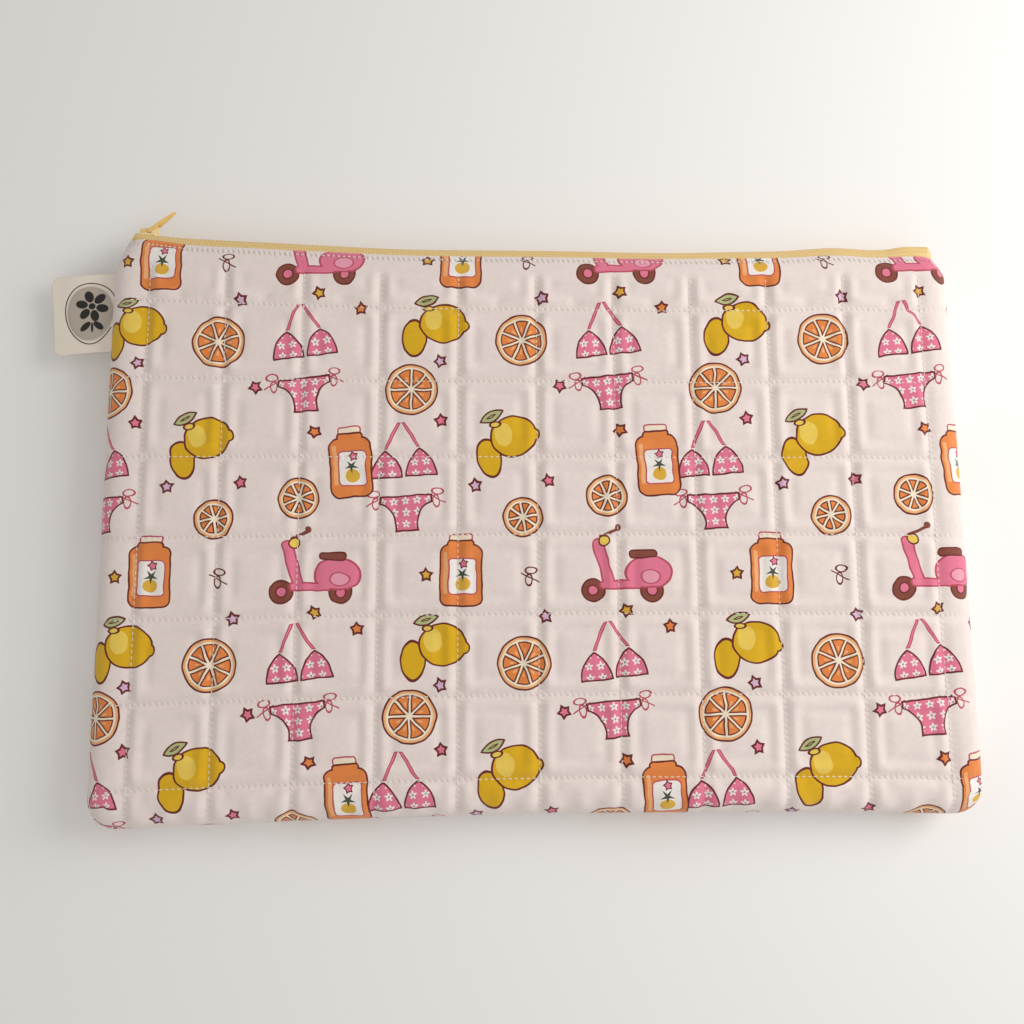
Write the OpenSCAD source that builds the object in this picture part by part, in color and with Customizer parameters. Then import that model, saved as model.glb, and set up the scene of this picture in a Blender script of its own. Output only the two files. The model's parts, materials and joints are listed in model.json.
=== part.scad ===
// A zipped, quilted laptop sleeve that lies on its back, opened out as it stands round a laptop.
// +X runs along the zip, +Y from the bottom seam to the zip, +Z up from the surface that it lies on.
// The origin is in the middle of the flat underside. The zip closes towards -X.

/* [Sleeve] */
// Width across the bottom corners, seam to seam
sleeve_w = 410; // [400:1:430]
// How much narrower the sleeve is at the zip end than at the bottom
taper_w = 7; // [0:1:10]
// Height from the bottom seam to the outside of the zip
sleeve_h = 275; // [270:1:300]
// Thickness over both padded walls
sleeve_t = 25; // [24:0.5:32]
// Radius of the bottom corners
corner_r = 15; // [12:1:24]
// How far in from the seam the walls become flat
edge_w = 11.5; // [10:0.5:14]

/* [Layers] */
// Printed cotton outside
cotton_t = 0.6; // [0.4:0.1:0.8]
// Wadding between the two fabrics
wadding_t = 2.8; // [2:0.1:3]
// Lining inside
lining_t = 0.4; // [0.3:0.1:0.6]
// Pitch of the quilted squares
quilt_pitch = 37.2; // [30:0.1:50]

/* [Zip] */
// Length of the lips that open between the fixed ends of the zip
lip_len = 367.8; // [362:0.2:368]
// Angle over which the cotton bends down to the zip
lip_bend = 38; // [34:1:40]
// Length of the zip's slider
slider_len = 10.4; // [9:0.2:10.6]
// Width of the zip's slider
slider_w = 8.4; // [8:0.1:8.6]
// Pitch of the zip's coil
coil_pitch = 1.9; // [1.5:0.1:2.2]
// Length of the pull tab from its pivot
pull_len = 15.6; // [13:0.2:24]
// Angle of the pull tab above the zip
pull_angle = 40; // [10:1:80]

/* [Label] */
// Length of the side label that stands out of the seam
label_len = 31.5; // [20:0.5:36]
// Width of the side label along the seam
label_w = 38; // [24:1:40]
// Distance of the label's middle from the zip
label_drop = 38; // [30:1:120]
// Thickness of the label
label_t = 1; // [0.6:0.1:1.4]

/* [Hidden] */
$fn = 48;

// Colours
cotton_c = [0.93, 0.86, 0.84];
wadding_c = [0.97, 0.96, 0.93];
lining_c = [0.95, 0.80, 0.83];
tape_c = [0.93, 0.75, 0.42];
metal_c = [0.90, 0.76, 0.40];
thread_c = [0.98, 0.96, 0.94];
label_c = [0.80, 0.77, 0.72];
ink_c = [0.10, 0.10, 0.10];

gap = 0.3; // between pieces that move past each other
bottom_y = -sleeve_h / 2;
zip_y = sleeve_h / 2;
mid_z = sleeve_t / 2;
half_bottom = sleeve_w / 2;
half_top = half_bottom - taper_w / 2;

// The wall, counted inwards from the outside
wadding_in = cotton_t;
lining_in = cotton_t + wadding_t;
wall_t = lining_in + lining_t;

// The lips: an arc about an axis along X takes each wall from flat down to the zip
bend_r = 17.1;
lip_depth = 14.5;                     // from the bend to the zip's outside
bend_y = zip_y - lip_depth;
bend_z = sleeve_t - bend_r;
mouth_y = bend_y + bend_r * sin(lip_bend);
shoulder_y = bend_y - 1;
shoulder_in = 5.5;                    // how far the zip end pulls each top corner in

// The zip, above its middle plane; s is the distance from that plane
tape_t = 0.6;
tape_flat_s = 4.4;                    // half the width of the flat strip that the slider rides
tape_edge_s = 1;                      // the sewn edge beside the coil starts here
tape_root_r = bend_r - 0.9;           // where the tape leaves the wall
tape_root_a = lip_bend + 0.3;         // just clear of the lip's cut edge
tape_root_y = bend_y + tape_root_r * sin(tape_root_a);
tape_root_s = bend_z + tape_root_r * cos(tape_root_a) - mid_z;
tape_soft = 0.7;                      // the tape's bend beside the flat strip
coil_h = 1.9;
coil_s = 2.4;                         // half the width of the closed coil
coil_wire = 0.75;
coil_over = 0.9;                      // how far a loop reaches past the middle
coil_slant = 1.15;                    // how much a loop's head slants, so that the rows swing apart
zip_half = half_top - shoulder_in;    // half the length of the zip between the side seams
park_x = -lip_len / 2 - slider_len / 2 - 0.1;
coil_start_x = park_x + 0.4;          // right of the slider's post at rest

// The slider: everything is measured along Y, outwards from zip_y
wing_t = 1.1;
wing_gap = 0.3;
low_wing_y = zip_y - tape_t - coil_h - 0.3 - wing_t;
flange_w = 1;
crown_w = 1.8;
crown_h = 3.8;
crown_left = park_x - 4;
crown_right = park_x + 5.2;
crown_slot = 0.9;                     // the nose's height above the wing
bar_r = 0.55;
bar_clear = 0.15;
pivot_x = park_x + 1;
pivot_y = zip_y + wing_gap + wing_t + 2.4;
pull_t = 1.2;
pull_w = 3.7;
pull_tip_w = 2;
eye_len = 5.6;
eye_w = 2.4;

// The label
label_y = zip_y - label_drop;
label_hinge = half_side(label_y) + 0.2;
print_t = 0.15;

// The strip of turned-in cotton inside the side and bottom seams
allowance_in = wall_t + gap;
allowance_w = 6;
allowance_t = 1.6;

// Where the quilting's lines cross, counted from the origin
quilt_x0 = 1.5;
quilt_y0 = -8;

// Half the width of the sleeve at a height y along its sides
function half_side(y) =
    half_bottom - (half_bottom - half_top) * (y - bottom_y) / (shoulder_y - bottom_y);

// Inset of a wall surface from the seam, t into the wall, at the height s above the middle plane
function edge_inset(t, s) =
    let (rise = mid_z - t, run = edge_w - t) edge_w - run * sqrt(max(0, 1 - pow(s / rise, 2)));

// The plan outline, moved in by d: round bottom corners, slanting shoulders and a straight top
function plan(d) = let (r = corner_r - min(d, corner_r - 2), steps = 6) concat(
    [for (i = [0:steps]) let (a = 270 + 90 * i / steps)
        [half_bottom - d - r + r * cos(a), bottom_y + d + r + r * sin(a)]],
    [[half_top - d, shoulder_y], [zip_half - d + 1, mouth_y]],
    [[-zip_half + d - 1, mouth_y], [-half_top + d, shoulder_y]],
    [for (i = [0:steps]) let (a = 180 + 90 * i / steps)
        [-half_bottom + d + r + r * cos(a), bottom_y + d + r + r * sin(a)]]
);

// The closed pillow that lies t inside the outer surface, before the mouth is bent down
module pillow(t) {
    rise = mid_z - t;
    film = 0.01;
    hull()
        for (a = [-90:22.5:90]) {
            s = rise * sin(a);
            translate([0, 0, mid_z + s - (a > 0 ? film : 0)])
                linear_extrude(film) polygon(plan(edge_inset(t, abs(s))));
        }
}

// The side view of the bent mouth, t inside the outer surface: flat walls, then an arc each way
module mouth_profile(t) {
    r = bend_r - t;
    translate([bottom_y - 5, t]) square([bend_y - bottom_y + 5, sleeve_t - 2 * t]);
    intersection() {
        union() {
            translate([bend_y, bend_z]) circle(r, $fn = 96);
            translate([bend_y, sleeve_t - bend_z]) circle(r, $fn = 96);
            translate([bend_y, bend_z]) square([r, sleeve_t - 2 * bend_z]);
        }
        translate([bend_y - 0.01, t]) square([mouth_y - bend_y + 0.01, sleeve_t - 2 * t]);
    }
}

// Sweeps a side view, drawn as (y, z), along X between two places
module along_x(x0, x1) {
    translate([x0, 0, 0]) rotate([90, 0, 90]) linear_extrude(x1 - x0) children();
}

// The full outer volume, t inside the surface
module volume_in(t) {
    intersection() {
        pillow(t);
        along_x(-half_bottom, half_bottom) mouth_profile(t);
    }
}

// One layer of both walls, from t0 to t1 inside the surface, with the lips' place cut away
module wall_layer(t0, t1) {
    difference() {
        volume_in(t0);
        volume_in(t1);
        along_x(-half_bottom, half_bottom)
            translate([mouth_y - 0.01, t1]) square([5, sleeve_t - 2 * t1]);
        along_x(-zip_half - 2, zip_half + 2) mouth_hole(t1);
        along_x(-lip_len / 2, lip_len / 2)
            translate([bend_y - gap / 2, -1]) square([lip_depth + 2, sleeve_t + 2]);
    }
}

// The open end of the mouth, between the two bent walls
module mouth_hole(t) {
    intersection() {
        mouth_profile(t);
        translate([bend_y, -1]) square([lip_depth, sleeve_t + 2]);
    }
}

module front_half() {
    intersection() {
        children();
        translate([-half_bottom - 1, bottom_y - 1, mid_z])
            cube([sleeve_w + 2, sleeve_h + 2, sleeve_t]);
    }
}

module back_half() {
    intersection() {
        children();
        translate([-half_bottom - 1, bottom_y - 1, mid_z - sleeve_t])
            cube([sleeve_w + 2, sleeve_h + 2, sleeve_t]);
    }
}

// Turns a piece of the front into the same piece of the back
module to_back() {
    translate([0, 0, sleeve_t]) mirror([0, 0, 1]) children();
}

module back_outer() { color(cotton_c) back_half() wall_layer(0, wadding_in); }
module back_wadding() { color(wadding_c) back_half() wall_layer(wadding_in, lining_in); }
module back_lining() { color(lining_c) back_half() wall_layer(lining_in, wall_t); }
module front_outer() { color(cotton_c) front_half() wall_layer(0, wadding_in); }
module front_wadding() { color(wadding_c) front_half() wall_layer(wadding_in, lining_in); }
module front_lining() { color(lining_c) front_half() wall_layer(lining_in, wall_t); }

// One bent layer of a lip, between two depths in the wall
module lip_layer(t0, t1) {
    reach = bend_r + 2;
    along_x(-lip_len / 2 + gap, lip_len / 2 - gap)
        intersection() {
            translate([bend_y, bend_z]) difference() {
                circle(bend_r - t0, $fn = 96);
                circle(bend_r - t1, $fn = 96);
            }
            translate([bend_y, bend_z]) polygon([
                [gap / 2, gap / 2 / tan(lip_bend)],
                [gap / 2, reach],
                [reach * tan(lip_bend), reach]
            ]);
        }
}

module front_lip_outer() { color(cotton_c) lip_layer(0, wadding_in); }
module front_lip_wadding() { color(wadding_c) lip_layer(wadding_in, lining_in); }
module front_lip_lining() { color(lining_c) lip_layer(lining_in, wall_t); }
module back_lip_outer() { color(cotton_c) to_back() lip_layer(0, wadding_in); }
module back_lip_wadding() { color(wadding_c) to_back() lip_layer(wadding_in, lining_in); }
module back_lip_lining() { color(lining_c) to_back() lip_layer(lining_in, wall_t); }

// The turned-in edges of the cotton, with room for the tail of the label
module seam_allowance() {
    color(cotton_c) translate([0, 0, mid_z - allowance_t / 2]) linear_extrude(allowance_t)
        difference() {
            polygon(plan(allowance_in));
            polygon(plan(allowance_in + allowance_w));
            translate([-sleeve_w / 2, shoulder_y - 12]) square([sleeve_w, 50]);
            translate([-sleeve_w / 2, label_y - label_w / 2 - 1])
                square([sleeve_w / 4, label_w + 2]);
        }
}

// The end of the label that is sewn in, between the turned-in edges
module label_tail() {
    color(label_c) translate([0, 0, mid_z - label_t / 2]) linear_extrude(label_t)
        intersection() {
            difference() {
                polygon(plan(allowance_in));
                polygon(plan(allowance_in + allowance_w));
            }
            translate([-sleeve_w / 2, label_y - label_w / 2]) square([sleeve_w / 4, label_w]);
        }
}

// The quilting thread on one wall: a grid of fine cords that lies on the cotton
module quilting() {
    cord_w = 0.4;
    cord_h = 0.2;
    half_x = half_top - edge_w - 1;
    low_y = bottom_y + edge_w + 1;
    high_y = bend_y - 1;
    first_col = ceil((-half_x - quilt_x0) / quilt_pitch);
    last_col = floor((half_x - quilt_x0) / quilt_pitch);
    first_row = ceil((low_y - quilt_y0) / quilt_pitch);
    last_row = floor((high_y - quilt_y0) / quilt_pitch);
    color(thread_c) translate([0, 0, sleeve_t]) linear_extrude(cord_h) {
        for (i = [first_col:last_col])
            translate([quilt_x0 + i * quilt_pitch - cord_w / 2, low_y])
                square([cord_w, high_y - low_y]);
        for (j = [first_row:last_row])
            translate([-half_x, quilt_y0 + j * quilt_pitch - cord_w / 2])
                square([2 * half_x, cord_w]);
    }
}

module quilting_front() quilting();

// The back wall's thread lies inside the lining, because the cotton rests on the table
module quilting_back() {
    translate([0, 0, wall_t - sleeve_t]) quilting();
}

// Side view of the front half's tape beyond the sewn edge: up the slope and onto the flat strip
module tape_profile() {
    slope = [tape_root_y, mid_z + tape_root_s];
    bend = [zip_y - tape_soft, mid_z + tape_flat_s + tape_soft * 0.9];
    polygon([
        slope,
        bend,
        [zip_y, mid_z + tape_flat_s],
        [zip_y, mid_z + tape_edge_s],
        [zip_y - tape_t, mid_z + tape_edge_s],
        [zip_y - tape_t, mid_z + tape_flat_s - 0.2],
        [bend[0] - tape_t * 0.6, bend[1] - tape_t * 0.7],
        [slope[0] - tape_t * 0.6, slope[1] - tape_t * 0.8]
    ]);
}

module tape(x0, x1) {
    along_x(x0, x1) tape_profile();
}

module zip_tape_front() { color(tape_c) tape(-lip_len / 2 + gap, lip_len / 2 - gap); }
module zip_tape_back() { color(tape_c) to_back() tape(-lip_len / 2 + gap, lip_len / 2 - gap); }

// The tape that stays put at each end, cut to a slant where it turns down into the corner
module zip_tape_ends() {
    turn = 6;
    color(tape_c)
        intersection() {
            for (flip = [0, 1])
                mirror_if(flip) {
                    tape(-zip_half, -lip_len / 2);
                    tape(lip_len / 2, zip_half);
                }
            translate([0, zip_y + 1, mid_z]) rotate([90, 0, 0]) linear_extrude(lip_depth)
                polygon([
                    [zip_half, -4], [zip_half, 4], [zip_half - turn, 9],
                    [-zip_half + turn, 9], [-zip_half, 4], [-zip_half, -4],
                    [-zip_half + turn, -9], [zip_half - turn, -9]
                ]);
        }
}

module mirror_if(flip) {
    if (flip) to_back() children();
    else children();
}

// Side view of one loop of the front's coil: its legs lie on the tape and its head slants away
module loop_profile() {
    outside = zip_y - tape_t;
    inside = outside - coil_h;
    polygon([
        [outside, mid_z + coil_s],
        [inside, mid_z + coil_s],
        [inside, mid_z - coil_over + 0.4],
        [inside + 0.3, mid_z - coil_over],
        [outside - coil_slant, mid_z - coil_over],
        [outside, mid_z + 0.3]
    ]);
}

// A row of coil loops on one side of the zip, with the sewn edge of the tape that holds it.
// Loops of the two sides alternate: shift is half a pitch more for the back than for the front.
module coil_row(x0, x1, shift) {
    count = floor((x1 - x0 - shift - coil_wire) / coil_pitch);
    along_x(x0, x1) translate([zip_y - tape_t, mid_z + 0.2]) square([tape_t, tape_edge_s - 0.2]);
    for (i = [0:count])
        let (x = x0 + shift + i * coil_pitch)
            along_x(x, x + coil_wire) loop_profile();
}

module zip_coil_front() { color(tape_c) coil_row(-lip_len / 2 + gap, lip_len / 2 - gap, 0.2); }
module zip_coil_back() {
    color(tape_c) to_back()
        coil_row(-lip_len / 2 + gap, lip_len / 2 - gap, 0.2 + coil_pitch / 2);
}

// The coil that stays shut at the fixed right end, and the few loops inside the parked slider
module zip_coil_end() {
    color(tape_c)
        for (x = [[lip_len / 2 + 0.1, zip_half - 3.5], [coil_start_x, -lip_len / 2 - 0.1]]) {
            coil_row(x[0], x[1], 0.1);
            to_back() coil_row(x[0], x[1], 0.1 + coil_pitch / 2);
        }
}

// Two moulded stops, one on each tape, that the slider closes against
module zip_top_stops() {
    stop_len = 0.9;
    color(tape_c)
        for (flip = [0, 1])
            mirror_if(flip)
                translate([-zip_half + 0.2, zip_y - tape_t - coil_h, mid_z + 1])
                    cube([stop_len, coil_h, 1.8]);
}

// One stop across both tapes at the open end
module zip_bottom_stop() {
    color(tape_c)
        translate([zip_half - 3.2, zip_y - tape_t - coil_h, mid_z - coil_s])
            cube([2.4, coil_h, 2 * coil_s]);
}

// A line of stitches through the bent cotton of a lip, 4 mm from its edge
module topstitch() {
    stitch_pitch = 2.5;
    stitch_len = 1.7;
    thread_r = 0.22;
    a = lip_bend - 14;
    r = bend_r + thread_r;
    count = floor(lip_len / stitch_pitch / 2) - 1;
    color(thread_c)
        for (i = [-count:count])
            translate([i * stitch_pitch - stitch_len / 2,
                       bend_y + r * sin(a), bend_z + r * cos(a)])
                rotate([0, 90, 0]) cylinder(r = thread_r, h = stitch_len, $fn = 16);
}

module topstitch_front() topstitch();
module topstitch_back() to_back() topstitch();

// One wing of the slider seen along Y: wide shoulders on the left, narrower at the right
module wing_plan(half) {
    r = 1.2;
    nose = slider_len / 2;
    difference() {
        union() {
            translate([-nose, -half + r]) square([slider_len, 2 * half - 2 * r]);
            translate([-nose + r, -half]) square([slider_len - 2 * r, 2 * half]);
            for (sx = [-1, 1]) for (sy = [-1, 1])
                translate([sx * (nose - r), sy * (half - r)]) circle(r);
        }
        for (sy = [-1, 1])
            translate([nose * 0.2, sy * half]) rotate(-sy * 7)
                translate([0, sy > 0 ? 0 : -2]) square([slider_len, 2]);
    }
}

// Stands a plan drawn as (x, z offset) up as a plate between two distances along Y
module plate_y(y0, y1) {
    translate([park_x, y1, mid_z]) rotate([90, 0, 0]) linear_extrude(y1 - y0) children();
}

// Both wings; the lower one's flanges turn up on each side of the coil
module slider_body() {
    top_y = zip_y + wing_gap;
    half = slider_w / 2;
    flange_top = zip_y - tape_t - 0.4;
    color(metal_c) {
        plate_y(top_y, top_y + wing_t) wing_plan(half);
        difference() {
            plate_y(low_wing_y, flange_top) wing_plan(half);
            plate_y(low_wing_y + wing_t, top_y)
                translate([-slider_len, -half + flange_w])
                    square([2 * slider_len, slider_w - 2 * flange_w]);
        }
    }
}

// The crown on the upper wing, seen from the front: a foot on the right, a nose on the left that
// hangs over the wing, and the pocket between them that holds the pull tab's bar
module crown_profile() {
    foot = zip_y + wing_gap + wing_t;
    r = 1;
    pocket_r = bar_r + bar_clear;
    difference() {
        union() {
            translate([crown_left, foot]) square([crown_right - crown_left, crown_h - r]);
            translate([crown_left + r, foot]) square([crown_right - crown_left - 2 * r, crown_h]);
            for (x = [crown_left + r, crown_right - r])
                translate([x, foot + crown_h - r]) circle(r);
        }
        translate([pivot_x, pivot_y]) circle(pocket_r);
        translate([pivot_x - pocket_r, foot - 1]) square([2 * pocket_r, pivot_y - foot + 1]);
        translate([crown_left - 1, foot - 1])
            square([pivot_x - crown_left + 1, crown_slot + 1]);
    }
}

module slider_crown() {
    color(metal_c) translate([0, 0, mid_z - crown_w / 2]) linear_extrude(crown_w) crown_profile();
}

// The pull tab seen flat: two cheeks beside the crown, then a blade that tapers to a round tip
module pull_plan() {
    tip_r = pull_tip_w / 2;
    difference() {
        union() {
            circle(pull_w / 2);
            translate([0, -pull_w / 2]) square([eye_len + 1, pull_w]);
            polygon([
                [eye_len + 1, pull_w / 2], [pull_len - tip_r, tip_r],
                [pull_len - tip_r, -tip_r], [eye_len + 1, -pull_w / 2]
            ]);
            translate([pull_len - tip_r, 0]) circle(tip_r);
        }
        translate([-pull_w, -eye_w / 2]) square([pull_w + eye_len, eye_w]);
    }
}

// The blade and the round bar on which it turns
module pull_tab() {
    color(metal_c) translate([pivot_x, pivot_y, mid_z]) rotate([0, 0, pull_angle]) {
        intersection() {
            translate([0, pull_t / 2, 0]) rotate([90, 0, 0]) linear_extrude(pull_t) pull_plan();
            translate([-0.9, -pull_t, -pull_w]) cube([pull_len + 2, 2 * pull_t, 2 * pull_w]);
        }
        cylinder(r = bar_r, h = eye_w + 0.6, center = true, $fn = 32);
    }
}

// The free leaf of the label, with round outer corners and its root along the side seam
module side_label() {
    r = 4.5;
    x0 = -label_hinge - gap - label_len;
    y0 = label_y - label_w / 2;
    y1 = label_y + label_w / 2;
    color(label_c) translate([0, 0, mid_z - label_t / 2]) linear_extrude(label_t) {
        polygon([
            [x0 + r, y0], [-half_side(y0) - 2 * gap, y0],
            [-half_side(y1) - 2 * gap, y1], [x0 + r, y1]
        ]);
        translate([x0, y0 + r]) square([r, label_w - 2 * r]);
        for (y = [y0 + r, y1 - r]) translate([x0 + r, y]) circle(r);
    }
}

// A plain ring and a daisy printed on the label
module label_print() {
    ring_r = 11.5;
    petal_r = 2;
    color(ink_c)
        translate([-label_hinge - gap - label_len / 2, label_y, mid_z + label_t / 2])
            linear_extrude(print_t) {
                difference() {
                    circle(ring_r, $fn = 96);
                    circle(ring_r - 0.5, $fn = 96);
                }
                for (i = [0:4]) rotate(72 * i + 18) translate([4.2, 0]) circle(petal_r);
                circle(1.3);
            }
}

back_outer();
back_wadding();
back_lining();
front_outer();
front_wadding();
front_lining();
seam_allowance();
quilting_back();
quilting_front();
zip_tape_ends();
zip_coil_end();
zip_top_stops();
zip_bottom_stop();
front_lip_outer();
front_lip_wadding();
front_lip_lining();
zip_tape_front();
zip_coil_front();
topstitch_front();
back_lip_outer();
back_lip_wadding();
back_lip_lining();
zip_tape_back();
zip_coil_back();
topstitch_back();
slider_body();
slider_crown();
pull_tab();
side_label();
label_print();
label_tail();
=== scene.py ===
"""Looks of a quilted, zipped laptop sleeve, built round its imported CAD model.

Lengths are millimetres in the row frame. Meshes are made in metres by the functions that create them.
A point of the sleeve's cloth is looked up on one grid of columns (along X) and rows (along Y), and every
layer of a wall is that grid at its own depth.
"""
import math

import bmesh
import bpy
import numpy as np
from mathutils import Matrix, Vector
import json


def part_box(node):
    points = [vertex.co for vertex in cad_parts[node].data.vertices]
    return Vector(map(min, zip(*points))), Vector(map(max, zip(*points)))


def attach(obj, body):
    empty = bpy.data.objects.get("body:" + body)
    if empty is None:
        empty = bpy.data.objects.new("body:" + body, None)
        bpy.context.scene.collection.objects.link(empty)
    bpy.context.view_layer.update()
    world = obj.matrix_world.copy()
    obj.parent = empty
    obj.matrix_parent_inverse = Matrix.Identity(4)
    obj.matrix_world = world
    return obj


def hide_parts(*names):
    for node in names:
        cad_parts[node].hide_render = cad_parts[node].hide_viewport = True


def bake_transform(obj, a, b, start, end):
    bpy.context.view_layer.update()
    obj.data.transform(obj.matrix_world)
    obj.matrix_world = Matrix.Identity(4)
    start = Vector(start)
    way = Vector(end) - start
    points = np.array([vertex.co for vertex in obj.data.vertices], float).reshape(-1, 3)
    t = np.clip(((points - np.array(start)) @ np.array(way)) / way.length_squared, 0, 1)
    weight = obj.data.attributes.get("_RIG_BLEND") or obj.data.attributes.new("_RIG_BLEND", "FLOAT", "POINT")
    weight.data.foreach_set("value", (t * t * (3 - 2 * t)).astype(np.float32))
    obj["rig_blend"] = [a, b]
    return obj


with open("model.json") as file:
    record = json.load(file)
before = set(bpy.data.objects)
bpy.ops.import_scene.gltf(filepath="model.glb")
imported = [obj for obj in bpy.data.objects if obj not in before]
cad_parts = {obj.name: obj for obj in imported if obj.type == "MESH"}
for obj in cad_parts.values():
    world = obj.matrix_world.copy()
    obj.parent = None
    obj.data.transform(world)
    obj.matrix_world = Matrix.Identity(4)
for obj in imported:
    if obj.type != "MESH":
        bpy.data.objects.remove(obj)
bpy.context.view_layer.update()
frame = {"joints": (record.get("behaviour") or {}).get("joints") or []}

MM = 0.001
JOINTS = {joint["name"]: joint for joint in frame["joints"]}


def cad_box(node):
    """The lowest and highest corner of a CAD node."""
    low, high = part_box(node)
    return [c / MM for c in low], [c / MM for c in high]


def joint_place(name):
    """The place of a joint's axis."""
    return [c / MM for c in JOINTS[name]["pos_m"]]


# Sizes that the frame gives
(_, BOTTOM_Y, MID_Z), (HALF_WIDE, MOUTH_Y, TOP_Z) = cad_box("front_outer")
ZIP_Y = cad_box("zip_tape_front")[1][1]
ZIP_HALF = cad_box("zip_tape_ends")[1][0]
BEND_Y = joint_place("front_lip_open")[1]
SLIDER_LOW, SLIDER_HIGH = cad_box("slider_body")
CROWN_LOW, CROWN_HIGH = cad_box("slider_crown")
PIVOT = joint_place("pull_swing")
LABEL_LOW, LABEL_HIGH = cad_box("side_label")
LABEL_HINGE = joint_place("label_flex")

# The walls
RISE = TOP_Z - MID_Z
TAPER = 3.5              # how much nearer the right side is at the zip than at the bottom
TAPER_LEFT = 2.0
SHOULDER_LEFT = (119.5, 18, 7)       # where a shoulder starts, over what height, and how far in it goes
SHOULDER_RIGHT = (122.5, 15, 6.6)
SHOULDER_X = 168         # the shoulders move only the cloth beyond this
CORNER_R = 15            # bottom corners
EDGE_RUN = 11.5          # how far in from the seam the walls become flat
GROOVE = 0.75            # the walls' dip into the seam, its depth and half its height
SEAM_HAIR = 0.12         # half the gap between the walls at the seam
LABEL_ROOM = 0.42        # and how much more of it there is beside the label
COTTON_T = 0.6
WADDING_T = 2.8
LINING_T = 0.4
FILM = 0.03              # air between two layers
INNER_RELIEF = 0.35      # the share of the puffs that the wall's inner layers follow
PAD_START = 3            # the grid line, counted from the seam, at which they begin
BEND_R = 17.1            # the lips' arc down to the zip
LIP_BEND = math.radians(38)
BEND_Z = TOP_Z - BEND_R
FOLD_R = 0.75            # the folded edge of the cotton beside the tape
FIRST_STITCH = -189.0
STITCH_PITCH = 2.5

# The quilting
QUILT_STITCH = 2.7
PITCH = 37.2
QUILT_X = 1.5
QUILT_Y = -8.0
QUILT_COLUMNS = range(-5, 6)
QUILT_ROWS = range(-3, 4)
FIRST_QUILT_X = -193
FIRST_QUILT_Y = BOTTOM_Y + 11
STITCH_LEN = 1.9
STEP = PITCH / 24        # spacing of the grid lines
VALLEY = 0.95            # how deep the stitching draws the cotton in

# How the soft sleeve lies: a little askew, with its zip sagging between the ends
SKEW_X = 4.65
DROP_Y = -1.15
TILT_Y = 6.05
BOW_Y = 3.95
SAG = 4.3
SAG_HALF = 181
SAG_REACH = 70           # how far below the zip the cloth still follows the sag
SAG_SOFT = 0.0006        # rounds the sag's start at each end
SAG_WAVES = [(-62, 42, 0.8), (68, 38, 0.9), (145, 17, -1.3), (166, 10, 0.5)]
LIP_BACK = 2.0           # how far the cotton lies back from the zip
LIP_BACK_RIGHT = 1.3     # and how much further near its right end
LIP_BACK_REACH = 30      # how far below the mouth the cloth still follows that
BACK_FLATTER = 0.8       # the share of the highest puff by which the back lies flatter on the table

# The side label
LABEL_T = 0.9
LABEL_LEN = LABEL_HINGE[0] - LABEL_LOW[0]
LABEL_HALF = (LABEL_HIGH[1] - LABEL_LOW[1]) / 2
LABEL_Y = (LABEL_HIGH[1] + LABEL_LOW[1]) / 2
LABEL_R = 4.5
LABEL_TURN = math.radians(4.6)
SEAM_OUT = 1.7           # the seam covers the label up to here
RING_OUT = 12.4          # the ring's half length away from the seam, and along it
RING_UP = 15.2
RING_AT = 12.9           # the ring's middle, from the label's bend
RING_EGG = 0.10          # how much wider the ring is at its upper end
DISC = 0.93              # the raised disc's size, as a share of the ring's
RAISED = 0.55

# The lips open like a lens: fully in the middle, not at all at the ends of the zip
LENS_IN = 138
LENS_OUT = 181


# ---------------------------------------------------------------- numbers and noise

def smooth(t):
    """0 below 0, 1 above 1, and a smooth step between."""
    t = np.clip(t, 0, 1)
    return t * t * (3 - 2 * t)


def bell(distance, width):
    """1 at no distance, and next to nothing a few widths away."""
    return np.exp(-(distance / width) ** 2)


def noise(x, y, size, seed):
    """Smooth noise from -1 to 1 with blobs of about the given size."""
    table = np.random.default_rng(seed).uniform(-1, 1, (64, 64))
    u, v = np.asarray(x) / size + 31.3, np.asarray(y) / size + 17.9
    i, j = np.floor(u).astype(int), np.floor(v).astype(int)
    s, t = smooth(u - i), smooth(v - j)

    def corner(a, b):
        return table[(i + a) % 64, (j + b) % 64]

    near = corner(0, 0) * (1 - s) + corner(1, 0) * s
    far = corner(0, 1) * (1 - s) + corner(1, 1) * s
    return near * (1 - t) + far * t


def run_lengths(across, up):
    """Distance along a line of points, from its start."""
    steps = np.hypot(np.diff(across), np.diff(up))
    return np.concatenate([[0], np.cumsum(steps)])


def grid_quads(ids):
    """The faces between the points of a grid, from the grid of their numbers."""
    return np.stack([ids[:-1, :-1], ids[1:, :-1], ids[1:, 1:], ids[:-1, 1:]], -1).reshape(-1, 4)


def leaf_faces(shape, flip):
    """The faces of a closed leaf between two grids of points, the outer grid numbered first."""
    count = shape[0] * shape[1]
    ids = np.arange(count).reshape(shape)
    quads = grid_quads(ids)
    border = np.concatenate([ids[:-1, 0], ids[-1, :-1], ids[:0:-1, -1], ids[0, :0:-1]])
    ahead = np.roll(border, -1)
    rim = np.stack([ahead, border, border + count, ahead + count], -1)
    faces = np.concatenate([quads, quads[:, ::-1] + count, rim])
    return (faces[:, ::-1] if flip else faces).tolist()


# ---------------------------------------------------------------- the sleeve's shape

EDGE_ANGLES = np.radians([0, 2, 4.5, 8, 13, 20, 29, 39, 50, 62, 75])
EDGE_IN = EDGE_RUN * (1 - np.cos(EDGE_ANGLES))
EDGE_ALONG = run_lengths(np.append(EDGE_IN, EDGE_RUN), np.append(RISE * np.sin(EDGE_ANGLES), RISE))
LIP_ANGLES = np.linspace(0, LIP_BEND, 10)
FOLD_ANGLES = np.radians([20, 50, 80, 110, 140, 165])


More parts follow.
